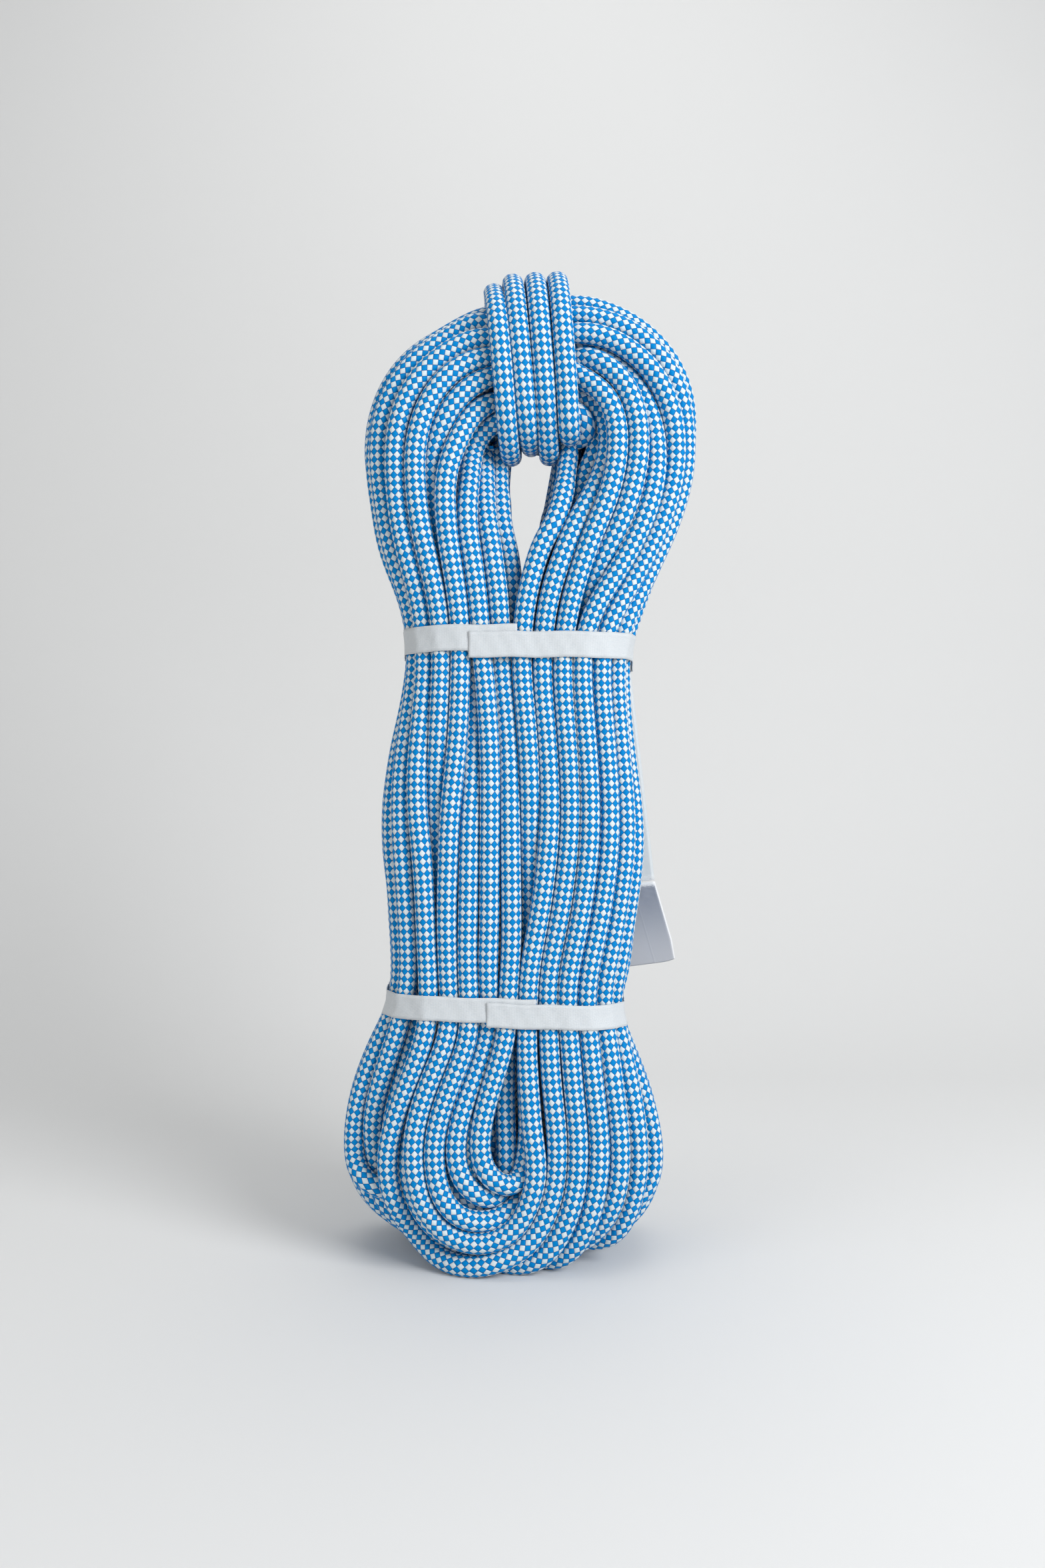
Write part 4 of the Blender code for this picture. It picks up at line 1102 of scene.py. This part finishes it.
def cardMaterial(name, lower):
    finish = leaflet
    made, tree, shader = newMaterial(name)
    uv = tree.nodes.new("ShaderNodeUVMap")
    uv.uv_map = "weave"
    split = tree.nodes.new("ShaderNodeSeparateXYZ")
    tree.links.new(uv.outputs[0], split.inputs[0])
    aside, down = split.outputs[0], split.outputs[1]
    fibres = tree.nodes.new("ShaderNodeTexNoise")
    fibres.inputs["Scale"].default_value = 700
    fibres.inputs["Detail"].default_value = 5
    mottle = tree.nodes.new("ShaderNodeTexNoise")
    mottle.inputs["Scale"].default_value = 160
    mottle.inputs["Detail"].default_value = 6
    if lower:
        # Painted shade: the lower leaf's colour, darkest at the crease and lighter towards its foot.
        ground = mix(tree, remap(tree, down, 0.004, finish["lowerLength"]), finish["print"],
                     finish["shadeAtFoot"])
        # Painted highlight: the colour turns pale along the crease. It turns pale along the right edge as well.
        crease = remap(tree, calc(tree, "ADD", down, calc(tree, "MULTIPLY", mottle.outputs[0], 0.006)),
                       0.0062, 0.0042)
        edge = remap(tree, aside, 0.0011, 0.0005)
        paleBand = calc(tree, "MAXIMUM", crease, edge)
    else:
        ground = mix(tree, remap(tree, mottle.outputs[0], 0.3, 0.8), finish["paper"], (0.56, 0.60, 0.61))
        # Painted highlight: the colour turns pale near the crease.
        paleBand = remap(tree, calc(tree, "SUBTRACT", down, calc(tree, "MULTIPLY", mottle.outputs[0], 0.008)),
                     finish["upperLength"] - 0.008, finish["upperLength"] - 0.004)
    colour = mix(tree, paleBand, ground, (0.80, 0.81, 0.82))
    shade = remap(tree, fibres.outputs[0], 0.3, 0.7, 0.97, 1.03)
    lit = tree.nodes.new("ShaderNodeVectorMath")
    lit.operation = "SCALE"
    tree.links.new(colour, lit.inputs[0])
    tree.links.new(shade, lit.inputs["Scale"])
    tree.links.new(lit.outputs[0], shader.inputs["Base Color"])
    fold = remap(tree, calc(tree, "ABSOLUTE", calc(tree, "SUBTRACT", aside, 0.013)), 0.0008, 0.0)
    height = calc(tree, "ADD", calc(tree, "MULTIPLY", fibres.outputs[0], 0.25),
                  calc(tree, "MULTIPLY", fold, 0.6))
    height = calc(tree, "ADD", height, calc(tree, "MULTIPLY", paleBand, mottle.outputs[0]))
    bump = tree.nodes.new("ShaderNodeBump")
    bump.inputs["Strength"].default_value = 0.4
    bump.inputs["Distance"].default_value = 0.0002
    tree.links.new(height, bump.inputs["Height"])
    tree.links.new(bump.outputs[0], shader.inputs["Normal"])
    shader.inputs["Roughness"].default_value = 0.38
    return made


def makeLeaflet():
    upper = leafMesh("leafletUpper", -leaflet["upperLength"], -0.0004)
    upper.materials.append(cardMaterial("cardPale", False))
    place("leafletUpper", upper, "hank", "card", "leaflet_upper_leaf")
    lower = leafMesh("leafletLower", 0.0004, leaflet["lowerLength"])
    lower.materials.append(cardMaterial("cardLowerShaded", True))
    place("leafletLower", lower, "lower_leaf", "card", "leaflet_lower_leaf")
    say("leaflet made")


def finishEnd():
    # The end's sleeve is clear shrunk tube, milky over the sheath; the core's yarns are melted.
    sleeve, tree, shader = newMaterial("sleeveMilky")
    rings = tree.nodes.new("ShaderNodeTexWave")
    rings.bands_direction = "Z"
    rings.inputs["Scale"].default_value = 260
    rings.inputs["Distortion"].default_value = 3
    cloud = tree.nodes.new("ShaderNodeTexNoise")
    cloud.inputs["Scale"].default_value = 420
    place_ = tree.nodes.new("ShaderNodeTexCoord")
    for node in (rings, cloud):
        tree.links.new(place_.outputs["Object"], node.inputs["Vector"])
    tree.links.new(mix(tree, cloud.outputs[0], (0.62, 0.68, 0.74), (0.34, 0.48, 0.66)),
                   shader.inputs["Base Color"])
    bump = tree.nodes.new("ShaderNodeBump")
    bump.inputs["Strength"].default_value = 0.4
    bump.inputs["Distance"].default_value = 0.0002
    tree.links.new(rings.outputs[1], bump.inputs["Height"])
    tree.links.new(bump.outputs[0], shader.inputs["Normal"])
    shader.inputs["Roughness"].default_value = 0.28
    core, tree, shader = newMaterial("coreMelted")
    yarns = tree.nodes.new("ShaderNodeTexVoronoi")
    yarns.inputs["Scale"].default_value = 900
    place_ = tree.nodes.new("ShaderNodeTexCoord")
    tree.links.new(place_.outputs["Object"], yarns.inputs["Vector"])
    tree.links.new(mix(tree, remap(tree, yarns.outputs[0], 0.0, 0.7), (0.78, 0.76, 0.70), (0.42, 0.38, 0.30)),
                   shader.inputs["Base Color"])
    bump = tree.nodes.new("ShaderNodeBump")
    bump.inputs["Distance"].default_value = 0.0004
    tree.links.new(yarns.outputs[0], bump.inputs["Height"])
    tree.links.new(bump.outputs[0], shader.inputs["Normal"])
    shader.inputs["Roughness"].default_value = 0.45
    for node, material in (("rope_end_sleeve", sleeve), ("rope_end_core", core)):
        piece = bpy.data.objects[node]
        for slot in piece.material_slots:
            slot.material = material
    say("rope's end finished")


makeTapes()
makeLeaflet()
finishEnd()


stage = {"floorColour": (0.74, 0.74, 0.73), "width": 4.0, "back": 0.9, "bend": 0.5, "height": 2.2}


def makeStage():
    profile = [(-3.0, 0.0), (stage["back"] - stage["bend"], 0.0)]
    for degrees in range(10, 91, 10):
        angle = math.radians(degrees)
        profile.append((stage["back"] - stage["bend"] + stage["bend"] * math.sin(angle),
                        stage["bend"] * (1 - math.cos(angle))))
    profile.append((stage["back"], stage["height"]))
    cage = bmesh.new()
    sides = [[cage.verts.new((x, y, z)) for y, z in profile] for x in (-stage["width"], stage["width"])]
    for k in range(len(profile) - 1):
        cage.faces.new((sides[0][k], sides[1][k], sides[1][k + 1], sides[0][k + 1]))
    mesh = bpy.data.meshes.new("studioSweep")
    cage.to_mesh(mesh)
    cage.free()
    mesh.shade_smooth()
    made = bpy.data.objects.new("studioSweep", mesh)
    bpy.context.scene.collection.objects.link(made)
    paper, tree, shader = newMaterial("studioPaper")
    shader.inputs["Base Color"].default_value = (*stage["floorColour"], 1)
    shader.inputs["Roughness"].default_value = 0.9
    mesh.materials.append(paper)


lamps = {
    # place, size, watts, colour; each faces the hank
    "windowLight": ((1.0, -1.0, 0.85), 0.9, 21.0, (0.97, 0.98, 1.0)),
    "roomLight": ((-1.2, -1.0, 0.7), 1.2, 5.0, (1.0, 0.98, 0.95)),
    "topLight": ((0.0, 0.1, 1.6), 1.2, 6.0, (1.0, 1.0, 1.0)),
}


def makeLights():
    for name, (place, size, watts, colour) in lamps.items():
        data = bpy.data.lights.new(name, "AREA")
        data.shape = "DISK"
        data.size = size
        data.energy = watts
        data.color = colour
        lamp = bpy.data.objects.new(name, data)
        lamp.location = place
        lamp.rotation_euler = (Vector((0, 0, 0.24)) - Vector(place)).to_track_quat("-Z", "Y").to_euler()
        bpy.context.scene.collection.objects.link(lamp)
    world = bpy.data.worlds.new("studioAir")
    world.use_nodes = True
    world.node_tree.nodes["Background"].inputs["Color"].default_value = (0.85, 0.87, 0.9, 1)
    world.node_tree.nodes["Background"].inputs["Strength"].default_value = 0.38
    bpy.context.scene.world = world
    bpy.context.scene.view_settings.view_transform = "Standard"


makeStage()
makeLights()
say("stage and lights set")
